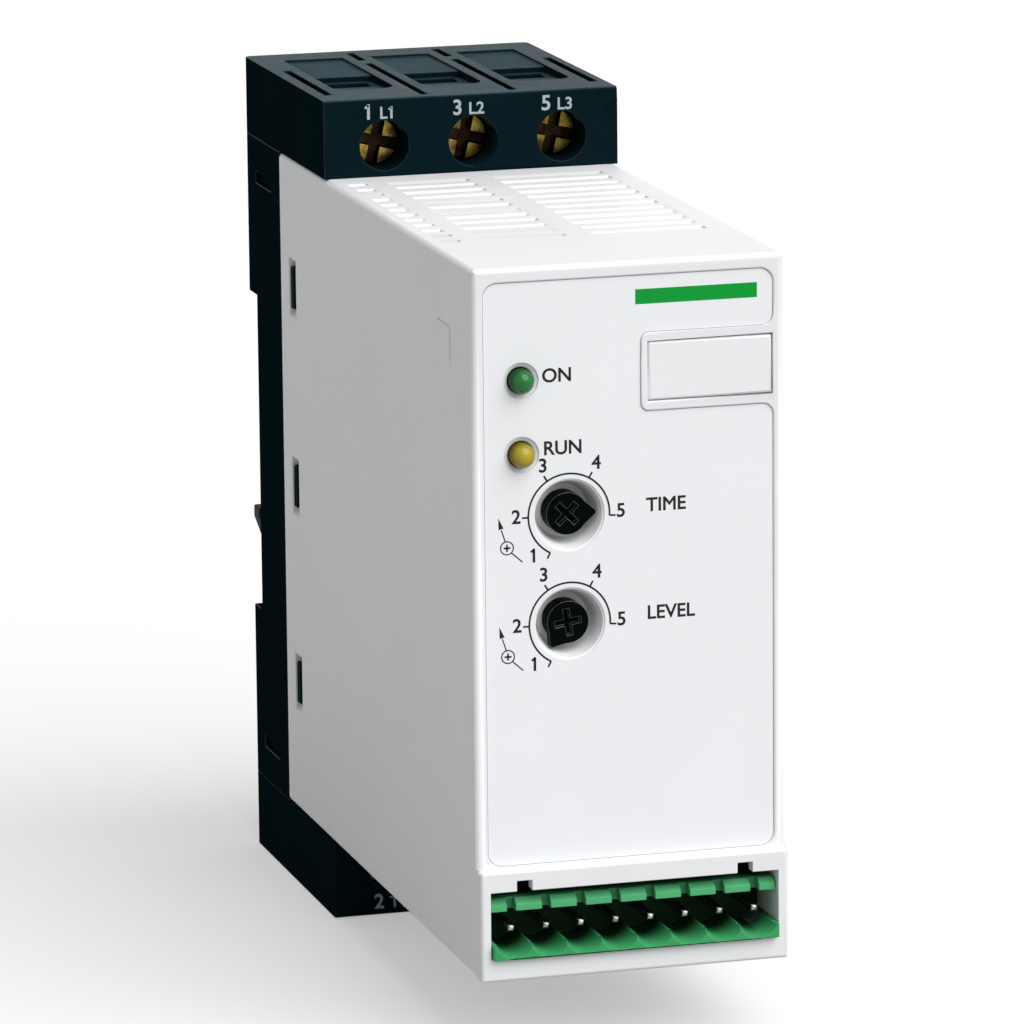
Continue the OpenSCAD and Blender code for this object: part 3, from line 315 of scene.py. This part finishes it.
metalLooks = {
    # screw heads: the dark patches are painted reflection of the dark bore, and the fade along X is painted shade,
    # darker on the screws further right
    "screwBrass": {"color": (0.4, 0.28, 0.06), "shade": (0.1, 0.06, 0.02), "lines": (5200, 900, 5200),
                   "gloss": (0.2, 0.34), "bump": 0.25, "tarnishAndReflection": 420, "stops": (0.4, 0.6),
                   "fades": {"X": (-0.016, 0.016, 1, 0.5)}},
    # darker brass in the cross recess: painted shade
    "brassRecessShade": {"color": (0.03, 0.018, 0.008), "shade": (0.012, 0.007, 0.004),
                    "lines": (5200, 900, 5200), "gloss": (0.3, 0.45)},
    "clampSteel": {"color": (0.62, 0.62, 0.58), "shade": (0.5, 0.49, 0.44), "lines": (900, 5200, 5200),
                   "gloss": (0.24, 0.4)},
    "barCopper": {"color": (0.8, 0.42, 0.25), "shade": (0.6, 0.28, 0.15), "lines": (600, 5200, 5200),
                  "gloss": (0.22, 0.4)},
    "pinTin": {"color": (0.4, 0.4, 0.39), "shade": (0.2, 0.2, 0.19), "lines": (5200, 500, 5200),
               "gloss": (0.16, 0.28)},
    "springSteel": {"color": (0.56, 0.56, 0.55), "shade": (0.42, 0.42, 0.42), "lines": (5200, 5200, 5200),
                    "gloss": (0.22, 0.36)},
    "sinkAluminium": {"color": (0.76, 0.77, 0.78), "shade": (0.68, 0.69, 0.7), "lines": (5200, 5200, 60),
                      "gloss": (0.28, 0.44), "bump": 0.35},
    "coreSteel": {"color": (0.2, 0.17, 0.12), "shade": (0.13, 0.11, 0.08), "lines": (60, 5200, 60),
                  "gloss": (0.35, 0.5), "bump": 0.4},
}
materials = {name: mouldedPlastic(name, look) for name, look in plasticLooks.items()}
materials.update({name: drawnMetal(name, look) for name, look in metalLooks.items()})
lensLooks = {"coats": {"Lens": 0.8, "Rim": 0},
             "tints": {"green": {"color": (0.004, 0.21, 0.026), "shade": (0.003, 0.15, 0.018)},
                       "yellow": {"color": (0.52, 0.42, 0.008), "shade": (0.42, 0.33, 0.006)}}}
for tint, look in lensLooks["tints"].items():
    for part, coat in lensLooks["coats"].items():
        materials[tint + part] = lampResin(tint + part, {**look, "coat": coat})
materials["boardLaminate"] = boardLaminate("boardLaminate", boardLook)
inkLooks = {
    "inkBlack": {"color": (0.012, 0.012, 0.013), "shade": (0.03, 0.03, 0.032), "roughness": 0.45},
    "inkGreen": {"color": (0.003, 0.31, 0.036), "shade": (0.005, 0.33, 0.042), "roughness": 0.55},
    "inkGrey": {"color": (0.42, 0.46, 0.48), "shade": (0.34, 0.37, 0.39), "roughness": 0.5},
}
materials.update({name: ink(name, look) for name, look in inkLooks.items()})

finishOf = {
    "base_plastic": "basePlastic", "cover_plastic": "coverPlastic", "label_film": "labelFilm",
    "plate_plastic": "platePlastic", "green_lens": "greenLens", "yellow_lens": "yellowLens",
    "knob_plastic": "knobPlastic", "black_plastic": "blackPlastic", "header_plastic": "headerPlastic",
    "tinned_metal": "pinTin", "clip_plastic": "clipPlastic", "spring_steel": "springSteel",
    "plated_steel": "clampSteel", "screw_brass": "screwBrass", "bar_copper": "barCopper",
    "board_laminate": "boardLaminate", "sink_aluminium": "sinkAluminium", "relay_plastic": "relayPlastic",
    "disc_coating": "discCoating", "core_steel": "coreSteel", "can_aluminium": "canSleeve",
}
for name, node in nodes.items():
    node.data.materials.clear()
    node.data.materials.append(materials[finishOf[slotOf[name]]])
print("materials made:", len(materials))


# pieces: a mesh from a bmesh, and a copy of a node with its moulded edges rounded

def pieceFrom(bm, name, finishes, body):
    mesh = bpy.data.meshes.new(name)
    bm.to_mesh(mesh)
    bm.free()
    for finish in finishes:
        mesh.materials.append(materials[finish])
    piece = bpy.data.objects.new(name, mesh)
    scene.collection.objects.link(piece)
    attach(piece, body)
    return piece


copySpec = {"merge": 0.002, "flatWithin": 0.6, "sharpFrom": 30}


def mergedCopy(nodeName):
    bm = bmesh.new()
    bm.from_mesh(nodes[nodeName].data)
    bmesh.ops.remove_doubles(bm, verts=bm.verts[:], dist=copySpec["merge"] * mm)
    bmesh.ops.dissolve_limit(bm, angle_limit=math.radians(copySpec["flatWithin"]), verts=bm.verts[:],
                             edges=bm.edges[:])
    return bm


def sharpEdges(bm, least=copySpec["sharpFrom"]):
    turn = math.radians(least)
    return [edge for edge in bm.edges if len(edge.link_faces) == 2 and edge.calc_face_angle() > turn]


# one tight corner holds back a whole bevel, so the edges that lack room there stay sharp

roomSpec = {"spare": 1.02, "leastSine": 0.0001}


# length of an edge used up at its end, for each unit of the bevel's width
def cornerNeed(vert, edge, other, edgeTaken, otherTaken):
    along = edge.other_vert(vert).co - vert.co
    beside = other.other_vert(vert).co - vert.co
    bend = along.angle(beside, math.pi)
    return (otherTaken + math.cos(bend) * edgeTaken) / max(math.sin(bend), roomSpec["leastSine"])


def roomyEdges(bm, edges, width):
    chosen = set(edges)
    tight = chosen
    while tight:
        tight = set()
        for loop in [loop for face in bm.faces for loop in face.loops]:
            before, edge, after = loop.link_loop_prev.edge, loop.edge, loop.link_loop_next.edge
            taken = chosen.intersection((before, edge, after))
            if not taken:
                continue
            need = cornerNeed(loop.vert, edge, before, edge in taken, before in taken)
            need += cornerNeed(loop.link_loop_next.vert, edge, after, edge in taken, after in taken)
            if edge.calc_length() < roomSpec["spare"] * need * width:
                tight.update(taken)
        chosen -= tight
    return [edge for edge in edges if edge in chosen]


def roundEdges(bm, edges, width, segments=2):
    made = bmesh.ops.bevel(bm, geom=roomyEdges(bm, edges, width), offset=width, offset_type="OFFSET",
                           affect="EDGES", segments=segments, profile=0.5, material=-1,
                           clamp_overlap=True, loop_slide=True)
    return set(made["faces"])


def standIn(bm, nodeName, pieceName, rounded=(), extra=(), pick=None):
    for vert in bm.verts:
        vert.co = [min(max(place, least), most) for place, least, most in zip(vert.co, *cadBounds)]
    for face in bm.faces:
        face.smooth = True
        face.material_index = pick(face, face in rounded) if pick else 0
    finishes = (finishOf[slotOf[nodeName]], *extra)
    piece = pieceFrom(bm, pieceName, finishes, bodyOf[nodeName])
    weighted = piece.modifiers.new("faceWeighted", "WEIGHTED_NORMAL")
    weighted.keep_sharp = True
    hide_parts(nodeName)


edgeRounds = {"legend_plate": ("legendPlateRounded", 0.15), "pin_header": ("pinHeaderRounded", 0.1),
              "start_time_dial": ("startTimeKnob", 0.06), "voltage_dial": ("voltageKnob", 0.06),
              "din_clip": ("dinClipRounded", 0.25),
              "upper_terminal_block": ("upperBlockRounded", 0.1),
              "lower_terminal_block": ("lowerBlockRounded", 0.1),
              "base_housing": ("baseHousingRounded", 0.1), "front_cover": ("frontCoverRounded", 0.12)}
terminals = range(1, 7)
for number in terminals:
    edgeRounds["terminal_screw_%d" % number] = ("terminalScrew%d" % number, 0.14)
    edgeRounds["wire_clamp_%d" % number] = ("wireClamp%d" % number, 0.2)
topZ = cadBounds[1][2]
footZ = cadBounds[0][2]


# base and blocks: painted light on the ends, less on the recessed trays, painted highlights on the edges, and
# paler painted light with sheen at the rear, right and below

basePaintedLightFinishes = ("baseEndPaintedLight", "baseTrayPaintedLight", "baseEdgeHighlight", "baseRearPaintedLight")
baseSlots = {finish: place for place, finish in enumerate(basePaintedLightFinishes, 1)}
baseSpec = {"outward": 0.6, "trayDepth": 1.6, "level": 0.05, "turned": 0.5}


def basePaintedLightPick(face, rounded):
    if rounded:
        return baseSlots["baseEdgeHighlight"]
    height = face.calc_center_median().z
    outward = face.normal.z if height > 0 else -face.normal.z
    drop = min(abs(height - topZ), abs(height - footZ))
    if outward > baseSpec["outward"] and drop < baseSpec["trayDepth"] * mm:
        return baseSlots["baseEndPaintedLight" if drop < baseSpec["level"] * mm else "baseTrayPaintedLight"]
    turned = max(face.normal.y, face.normal.x, -face.normal.z)
    return baseSlots["baseRearPaintedLight"] if turned > baseSpec["turned"] else 0


# knobs: painted highlights, paler and glossier, on the front edges

knobSpec = {"frontward": 0.2}


def knobHighlightPick(face, rounded):
    return 1 if rounded and -face.normal.y > knobSpec["frontward"] else 0


# header: painted shade, a deeper colour, in the lower trough

headerLow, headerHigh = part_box("pin_header")
headerMiddle = 0.5 * (headerLow.z + headerHigh.z)


def headerTroughShadePick(face, rounded):
    return 1 if face.calc_center_median().z < headerMiddle else 0


# screws: painted shade in the cross recess

screwSpec = {"skin": 0.25, "slot": 1.6, "reach": 3.2}
screwBoxes = [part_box("terminal_screw_%d" % number) for number in terminals]


def screwRecessShadePick(face, rounded):
    middle = face.calc_center_median()
    sunk = middle.y - screwBoxes[0][0].y
    reach = min(math.hypot(middle.x - 0.5 * (low.x + high.x), middle.z - 0.5 * (low.z + high.z))
                for low, high in screwBoxes)
    inSlot = screwSpec["skin"] * mm < sunk < screwSpec["slot"] * mm
    return 1 if inSlot and reach < screwSpec["reach"] * mm else 0


moreFinishes = {"pin_header": (("headerTroughShade",), headerTroughShadePick),
                "base_housing": (basePaintedLightFinishes, basePaintedLightPick),
                "upper_terminal_block": (basePaintedLightFinishes, basePaintedLightPick),
                "lower_terminal_block": (basePaintedLightFinishes, basePaintedLightPick),
                "start_time_dial": (("knobEdgeHighlight",), knobHighlightPick),
                "voltage_dial": (("knobEdgeHighlight",), knobHighlightPick)}
for number in terminals:
    moreFinishes["terminal_screw_%d" % number] = (("brassRecessShade",), screwRecessShadePick)


# vent slots: their ends lean as their rear walls do

ventSpec = {"wall": 2.0, "lean": 1.0, "clearOfSide": 1.5, "sideways": 0.95, "near": 0.05}


def leanVentEnds(bm, low, high):
    near = ventSpec["near"] * mm
    wall = ventSpec["wall"] * mm
    inner = {}
    for face in bm.faces:
        middle = face.calc_center_median()
        atSide = abs(middle.x) > high.x - ventSpec["clearOfSide"] * mm
        if atSide or abs(face.normal.x) < ventSpec["sideways"]:
            continue
        depths = {vert: min(high.z - vert.co.z, vert.co.z - low.z) for vert in face.verts}
        if max(depths.values()) < wall + near:
            side = math.copysign(1, face.normal.x)
            inner.update({vert: side for vert, depth in depths.items() if depth > wall - near})
    for vert, side in inner.items():
        vert.co.x += side * ventSpec["lean"] * mm
    bm.normal_update()
    print("vent ends leaned:", len(inner) // 2)


# wide soft edges around the panel's recesses, and a plate that fills its recess
panelSpec = {"labelSink": 0.25, "soft": 0.24, "softSteps": 4, "near": 0.02, "plateGrowth": 0.07}
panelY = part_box("front_label")[0].y - panelSpec["labelSink"] * mm
for nodeName, (pieceName, width) in edgeRounds.items():
    bm = mergedCopy(nodeName)
    if nodeName == "front_cover":
        leanVentEnds(bm, *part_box(nodeName))
        recessEdges = [edge for edge in sharpEdges(bm)
                       if max(abs(vert.co.y - panelY) for vert in edge.verts) < panelSpec["near"] * mm]
        roundEdges(bm, recessEdges, panelSpec["soft"] * mm, segments=panelSpec["softSteps"])
    if nodeName == "legend_plate":
        low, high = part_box(nodeName)
        middle = 0.5 * (low + high)
        for vert in bm.verts:
            for axis in (0, 2):
                growth = panelSpec["plateGrowth"] * mm / (0.5 * (high[axis] - low[axis]))
                vert.co[axis] += growth * (vert.co[axis] - middle[axis])
    rounded = roundEdges(bm, sharpEdges(bm), width * mm)
    standIn(bm, nodeName, pieceName, rounded, *moreFinishes.get(nodeName, ()))

# header pins come to a blunt point
pinShape = {"tip": 0.34, "edge": 0.08, "near": 0.01, "sharpFrom": 60}
bm = mergedCopy("header_pins")
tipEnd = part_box("header_pins")[0].y + pinShape["near"] * mm
tipEdges = [edge for edge in sharpEdges(bm) if max(vert.co.y for vert in edge.verts) < tipEnd]
roundEdges(bm, tipEdges, pinShape["tip"] * mm, segments=1)
roundEdges(bm, sharpEdges(bm, pinShape["sharpFrom"]), pinShape["edge"] * mm, segments=1)
standIn(bm, "header_pins", "headerPinsTapered")
print("pieces with rounded edges:", len(edgeRounds) + 1)


# print on the front label and the terminal blocks

# capital is a share of the font's size, flagDrop of the stem, and the other lengths of the words' height
fontSpec = {"capital": 0.7, "bold": 0.028, "stem": 0.1, "flagDrop": 0.55, "flag": (-0.26, 0, -0.17),
            "frontward": 0.1}


def wordsInto(bm, words, height, place, anchor="LEFT"):
    curve = bpy.data.curves.new("words", "FONT")
    curve.body = words
    curve.size = height / fontSpec["capital"]
    curve.align_x = anchor
    curve.align_y = "CENTER"
    curve.bevel_depth = fontSpec["bold"] * height
    curve.bevel_resolution = 0
    curve.fill_mode = "FRONT"
    holder = bpy.data.objects.new("words", curve)
    scene.collection.objects.link(holder)
    bpy.context.view_layer.update()
    mesh = bpy.data.meshes.new_from_object(holder.evaluated_get(bpy.context.evaluated_depsgraph_get()))
    flat = bmesh.new()
    flat.from_mesh(mesh)
    rear = [face for face in flat.faces if face.normal.z < fontSpec["frontward"]]
    bmesh.ops.delete(flat, geom=rear, context="FACES")
    for vert in flat.verts:
        vert.co.z = 0
    bmesh.ops.remove_doubles(flat, verts=flat.verts[:], dist=hair)
    flat.to_mesh(mesh)
    flat.free()
    mesh.transform(Matrix.Translation(place) @ Matrix.Rotation(math.pi / 2, 4, "X"))
    bm.from_mesh(mesh)
    if words.endswith("1"):                  # the font's one is a bare stroke
        stem = (fontSpec["stem"] + 2 * fontSpec["bold"]) * height
        head = Vector((max(vert.co.x for vert in mesh.vertices) - 0.5 * stem, place.y,
                       max(vert.co.z for vert in mesh.vertices) - fontSpec["flagDrop"] * stem))
        strokeInto(bm, head, head + height * Vector(fontSpec["flag"]), stem)
    bpy.data.objects.remove(holder)
    bpy.data.curves.remove(curve)
    bpy.data.meshes.remove(mesh)


def patchInto(bm, middle, size, turn=0):
    turned = Matrix.Rotation(-turn, 4, "Y") @ Matrix.Rotation(math.pi / 2, 4, "X")
    bmesh.ops.create_grid(bm, x_segments=1, y_segments=1, size=0.5,
                          matrix=Matrix.Translation(middle) @ turned @ Matrix.Diagonal((*size, 1, 1)))


def strokeInto(bm, start, end, width):
    along = end - start
    patchInto(bm, (start + end) / 2, (along.length, width), math.atan2(along.z, along.x))


def arcInto(bm, centre, radii, fromAngle, toAngle, steps=48):
    ray = Vector((math.cos(fromAngle), 0, math.sin(fromAngle)))
    ends = [bm.verts.new(centre + radius * ray) for radius in radii]
    edge = bm.edges.new(ends)
    full = math.isclose(abs(toAngle - fromAngle), 2 * math.pi)
    bmesh.ops.spin(bm, geom=[edge] + ends, cent=centre, axis=(0, -1, 0), angle=toAngle - fromAngle,
                   steps=steps, use_merge=full)


def printPiece(bm, name, finish):
    bm.normal_update()
    turned = [face for face in bm.faces if face.normal.y > 0]
    bmesh.ops.reverse_faces(bm, faces=turned)
    pieceFrom(bm, name, [finish], "housing")


inkLift = 0.015 * mm
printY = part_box("front_label")[0].y - inkLift
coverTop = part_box("front_cover")[1].z
dialCentres = [Vector(joints[name]["pos_m"]) for name in ("start_time_turn", "voltage_turn")]
for centre in dialCentres:
    centre.y = printY

stripe = {"left": 1.0, "right": 18.6, "fromTop": (4.1, 6.2)}
bm = bmesh.new()
patchInto(bm, Vector((0.5 * (stripe["left"] + stripe["right"]) * mm, printY,
                      coverTop - 0.5 * sum(stripe["fromTop"]) * mm)),
          ((stripe["right"] - stripe["left"]) * mm, (stripe["fromTop"][1] - stripe["fromTop"][0]) * mm))
printPiece(bm, "greenStripe", "inkGreen")

scale = {"radius": 5.85, "line": 0.26, "from": 242, "to": -4, "ticks": (242, 180, 122, 60, -4), "tick": 0.9,
         "numbers": {"1": (-5.1, -5.5), "2": (-7.6, 0.1), "3": (-3.7, 7.1), "4": (4.0, 7.1),
                     "5": (7.5, 0.1)},
         "height": 1.9}
bm = bmesh.new()
for centre in dialCentres:
    radii = [(scale["radius"] - scale["line"] / 2) * mm, (scale["radius"] + scale["line"] / 2) * mm]
    arcInto(bm, centre, radii, math.radians(scale["from"]), math.radians(scale["to"]))
    for angle in scale["ticks"]:
        turn = math.radians(angle)
        reach = (scale["radius"] + scale["tick"] / 2) * mm
        middle = centre + Vector((reach * math.cos(turn), 0, reach * math.sin(turn)))
        patchInto(bm, middle, (scale["tick"] * mm, scale["line"] * mm), turn)
    for number, (x, z) in scale["numbers"].items():
        wordsInto(bm, number, scale["height"] * mm, centre + Vector((x * mm, 0, z * mm)), "CENTER")
printPiece(bm, "dialScales", "inkBlack")

turnSign = {"ring": (-8.95, -4.1), "ringSize": 0.92, "line": 0.17, "plus": 1.0,
            "tail": ((-8.3, -4.8), (-6.75, -6.2)), "stem": ((-9.2, -3.15), (-9.75, -1.5)),
            "head": (-9.9, -0.85), "headSize": 0.68, "headTurn": 104, "headShape": (1.6, 0.62),
            "plusLine": 1.5, "ringSteps": 32}


def signPoint(centre, point):
    return centre + Vector((point[0] * mm, 0, point[1] * mm))


bm = bmesh.new()
for centre in dialCentres:
    ring = signPoint(centre, turnSign["ring"])
    width = turnSign["line"] * mm
    radius = turnSign["ringSize"] * mm
    arcInto(bm, ring, [radius - width / 2, radius + width / 2], 0, 2 * math.pi, turnSign["ringSteps"])
    for turn in (0, math.pi / 2):
        patchInto(bm, ring, (turnSign["plus"] * mm, turnSign["plusLine"] * width), turn)
    for stroke in ("tail", "stem"):
        strokeInto(bm, *(signPoint(centre, end) for end in turnSign[stroke]), width)
    headTurn = math.radians(turnSign["headTurn"])
    turned = Matrix.Rotation(-headTurn, 4, "Y") @ Matrix.Rotation(math.pi / 2, 4, "X")
    slim = Matrix.Diagonal((*turnSign["headShape"], 1, 1)) @ Matrix.Rotation(-math.pi / 2, 4, "Z")
    head = Matrix.Translation(signPoint(centre, turnSign["head"])) @ turned @ slim
    bmesh.ops.create_circle(bm, cap_ends=True, segments=3, radius=turnSign["headSize"] * mm, matrix=head)
printPiece(bm, "turnSigns", "inkBlack")

captions = {"height": 1.9, "words": {"ON": (-12.5, 15.5), "RUN": (-12.4, 25.7), "TIME": (2.4, 34.6),
                                     "LEVEL": (2.4, 49.9)}}
bm = bmesh.new()
for words, (x, drop) in captions["words"].items():
    wordsInto(bm, words, captions["height"] * mm, Vector((x * mm, printY, coverTop - drop * mm)))
printPiece(bm, "labelCaptions", "inkBlack")

poleMarks = {"upper_terminal_block": ("upperPoleMarks", ("1", "L1", "3", "L2", "5", "L3"), 1, (1, 2, 3)),
             "lower_terminal_block": ("lowerPoleMarks", ("2", "T1", "4", "T2", "6", "T3"), -1, (4, 5, 6))}
markSpec = {"fromScrew": 5.0, "number": (-2.4, 2.2), "letters": (-0.75, 1.75), "drop": -0.2}
for nodeName, (pieceName, marks, side, screws) in poleMarks.items():
    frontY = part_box(nodeName)[0].y - inkLift
    bm = bmesh.new()
    for place, number in enumerate(screws):
        low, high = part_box("terminal_screw_%d" % number)
        x = 0.5 * (low.x + high.x)
        z = 0.5 * (low.z + high.z) + side * markSpec["fromScrew"] * mm
        shift, height = markSpec["number"]
        wordsInto(bm, marks[2 * place], height * mm, Vector((x + shift * mm, frontY, z)), "CENTER")
        shift, height = markSpec["letters"]
        z += markSpec["drop"] * mm
        wordsInto(bm, marks[2 * place + 1], height * mm, Vector((x + shift * mm, frontY, z)))
    printPiece(bm, pieceName, "inkGrey")
print("print laid on the label and the blocks")


# lamp lenses: domed resin with its flange

lens = {"flangeStep": 0.25, "barrel": 3.9, "flangeLength": 0.8, "legs": 1.27, "legWidth": 0.5,
        "legSeat": 0.2, "rim": 0.4, "steps": 40, "domeSteps": 10, "flat": 0.999, "sharpFrom": 35}
lamps = {"led_green": ("greenLamp", ("greenLens", "greenRim")),
         "led_yellow": ("yellowLamp", ("yellowLens", "yellowRim"))}
for nodeName, (pieceName, finishes) in lamps.items():
    low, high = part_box(nodeName)
    axis = Vector((0.5 * (low.x + high.x), 0, 0.5 * (low.z + high.z)))
    tip = low.y
    flange = 0.5 * (high.x - low.x)
    radius = flange - lens["flangeStep"] * mm
    seat = tip + radius + lens["barrel"] * mm
    back = seat + lens["flangeLength"] * mm
    bm = bmesh.new()
    profile = [(0, back), (flange, back), (flange, seat), (radius, seat), (radius, tip + radius)]
    for step in range(1, lens["domeSteps"] + 1):
        turn = 0.5 * math.pi * step / lens["domeSteps"]
        profile.append((radius * math.cos(turn), tip + radius - radius * math.sin(turn)))
    chain = [bm.verts.new((axis.x + reach, y, axis.z)) for reach, y in profile]
    rim = [bm.edges.new(pair) for pair in zip(chain, chain[1:])]
    bmesh.ops.spin(bm, geom=chain + rim, cent=axis, axis=(0, 1, 0), angle=2 * math.pi,
                   steps=lens["steps"], use_merge=True)
    bmesh.ops.remove_doubles(bm, verts=bm.verts[:], dist=hair)
    for side in (-1, 1):
        foot = Vector((axis.x + side * lens["legs"] * mm, 0.5 * (high.y + back), axis.z))
        legWidth = lens["legWidth"] * mm
        size = (legWidth, high.y - back + lens["legSeat"] * mm, legWidth)
        bmesh.ops.create_cube(bm, size=1, matrix=Matrix.Translation(foot) @ Matrix.Diagonal((*size, 1)))
    bmesh.ops.recalc_face_normals(bm, faces=bm.faces[:])
    for face in bm.faces:
        face.smooth = len(face.verts) < 4 or abs(face.normal.y) < lens["flat"]
        face.material_index = 1 if abs(face.normal.y) < lens["rim"] else 0
    piece = pieceFrom(bm, pieceName, finishes, "housing")
    piece.data.set_sharp_from_angle(angle=math.radians(lens["sharpFrom"]))
    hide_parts(nodeName)
print("lamps made")


# clip spring: a smoothed copy of its node on the housing

bm = bmesh.new()
bm.from_mesh(nodes["clip_spring"].data)
bmesh.ops.remove_doubles(bm, verts=bm.verts[:], dist=hair)
for face in bm.faces:
    face.smooth = True
springPiece = pieceFrom(bm, "clipSpringCoil", ["springSteel"], "housing")
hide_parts("clip_spring")
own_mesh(springPiece)


# studio: pale floor, soft key from the right, even fill

def seenDirectly(tree):
    path = addNode(tree, "ShaderNodeLightPath")
    result = path.outputs["Is Camera Ray"]
    for kind in ("Is Glossy Ray", "Is Transmission Ray"):
        either = addNode(tree, "ShaderNodeMath", operation="MAXIMUM")
        tree.links.new(result, either.inputs[0])
        tree.links.new(path.outputs[kind], either.inputs[1])
        result = either.outputs[0]
    return result


floorSpec = {"size": 8.0, "gap": 0.2, "seen": 0.95, "bounce": 0.36, "glow": 0.4}
bm = bmesh.new()
bmesh.ops.create_grid(bm, x_segments=1, y_segments=1, size=floorSpec["size"] / 2,
                      matrix=Matrix.Translation((0, 0, footZ - floorSpec["gap"] * mm)))
floorMesh = bpy.data.meshes.new("paleFloor")
bm.to_mesh(floorMesh)
bm.free()
floor = bpy.data.objects.new("paleFloor", floorMesh)
scene.collection.objects.link(floor)
floorMaterial = bpy.data.materials.new("paleFloor")
floorMaterial.use_nodes = True
tree = floorMaterial.node_tree
tree.nodes.clear()
bounce = addNode(tree, "ShaderNodeBsdfDiffuse", {"Color": (floorSpec["bounce"],) * 3 + (1,)})
lit = addNode(tree, "ShaderNodeBsdfDiffuse", {"Color": (floorSpec["seen"],) * 3 + (1,)})
glow = addNode(tree, "ShaderNodeEmission")
seen = addNode(tree, "ShaderNodeMixShader", {0: floorSpec["glow"]})
either = addNode(tree, "ShaderNodeMixShader")
output = addNode(tree, "ShaderNodeOutputMaterial")
tree.links.new(lit.outputs[0], seen.inputs[1])
tree.links.new(glow.outputs[0], seen.inputs[2])
tree.links.new(seenDirectly(tree), either.inputs[0])
tree.links.new(bounce.outputs[0], either.inputs[1])
tree.links.new(seen.outputs[0], either.inputs[2])
tree.links.new(either.outputs[0], output.inputs["Surface"])
floorMesh.materials.append(floorMaterial)

light = {"key": 2.9, "from": (0.36, -0.60, 0.72), "spread": 60, "fill": 0.42}
keyData = bpy.data.lights.new("softKey", "SUN")
keyData.energy = light["key"]
keyData.angle = math.radians(light["spread"])
key = bpy.data.objects.new("softKey", keyData)
key.rotation_euler = Vector(light["from"]).to_track_quat("Z", "Y").to_euler()
scene.collection.objects.link(key)

world = bpy.data.worlds.new("studioFill")
scene.world = world
world.use_nodes = True
tree = world.node_tree
tree.nodes.clear()
fill = addNode(tree, "ShaderNodeBackground", {"Strength": light["fill"]})
white = addNode(tree, "ShaderNodeBackground")
either = addNode(tree, "ShaderNodeMixShader")
output = addNode(tree, "ShaderNodeOutputWorld")
for back in (fill, white):
    back.inputs["Color"].default_value = (1, 1, 1, 1)
tree.links.new(seenDirectly(tree), either.inputs[0])
tree.links.new(fill.outputs[0], either.inputs[1])
tree.links.new(white.outputs[0], either.inputs[2])
tree.links.new(either.outputs[0], output.inputs["Surface"])
scene.view_settings.view_transform = "Standard"

# camera at the photograph's angle
view = {"place": (-0.2830, -1.06278, 0.21545), "yaw": 15.804, "pitch": 11.99, "roll": -0.563,
        "lens": 254.66, "sensor": 36, "farthest": 50}
yaw, pitch, roll = (math.radians(view[part]) for part in ("yaw", "pitch", "roll"))
ahead = Vector((math.sin(yaw) * math.cos(pitch), math.cos(yaw) * math.cos(pitch), -math.sin(pitch)))
level = ahead.cross(Vector((0, 0, 1))).normalized()
upright = level.cross(ahead)
across = math.cos(roll) * level + math.sin(roll) * upright
above = math.cos(roll) * upright - math.sin(roll) * level
cameraData = bpy.data.cameras.new("photoCamera")
cameraData.sensor_width = view["sensor"]
cameraData.lens = view["lens"]
cameraData.clip_end = view["farthest"]
camera = bpy.data.objects.new("photoCamera", cameraData)
facing = Matrix((across, above, -ahead)).transposed().to_4x4()
camera.matrix_world = Matrix.Translation(view["place"]) @ facing
scene.collection.objects.link(camera)
scene.camera = camera
print("studio and camera set")
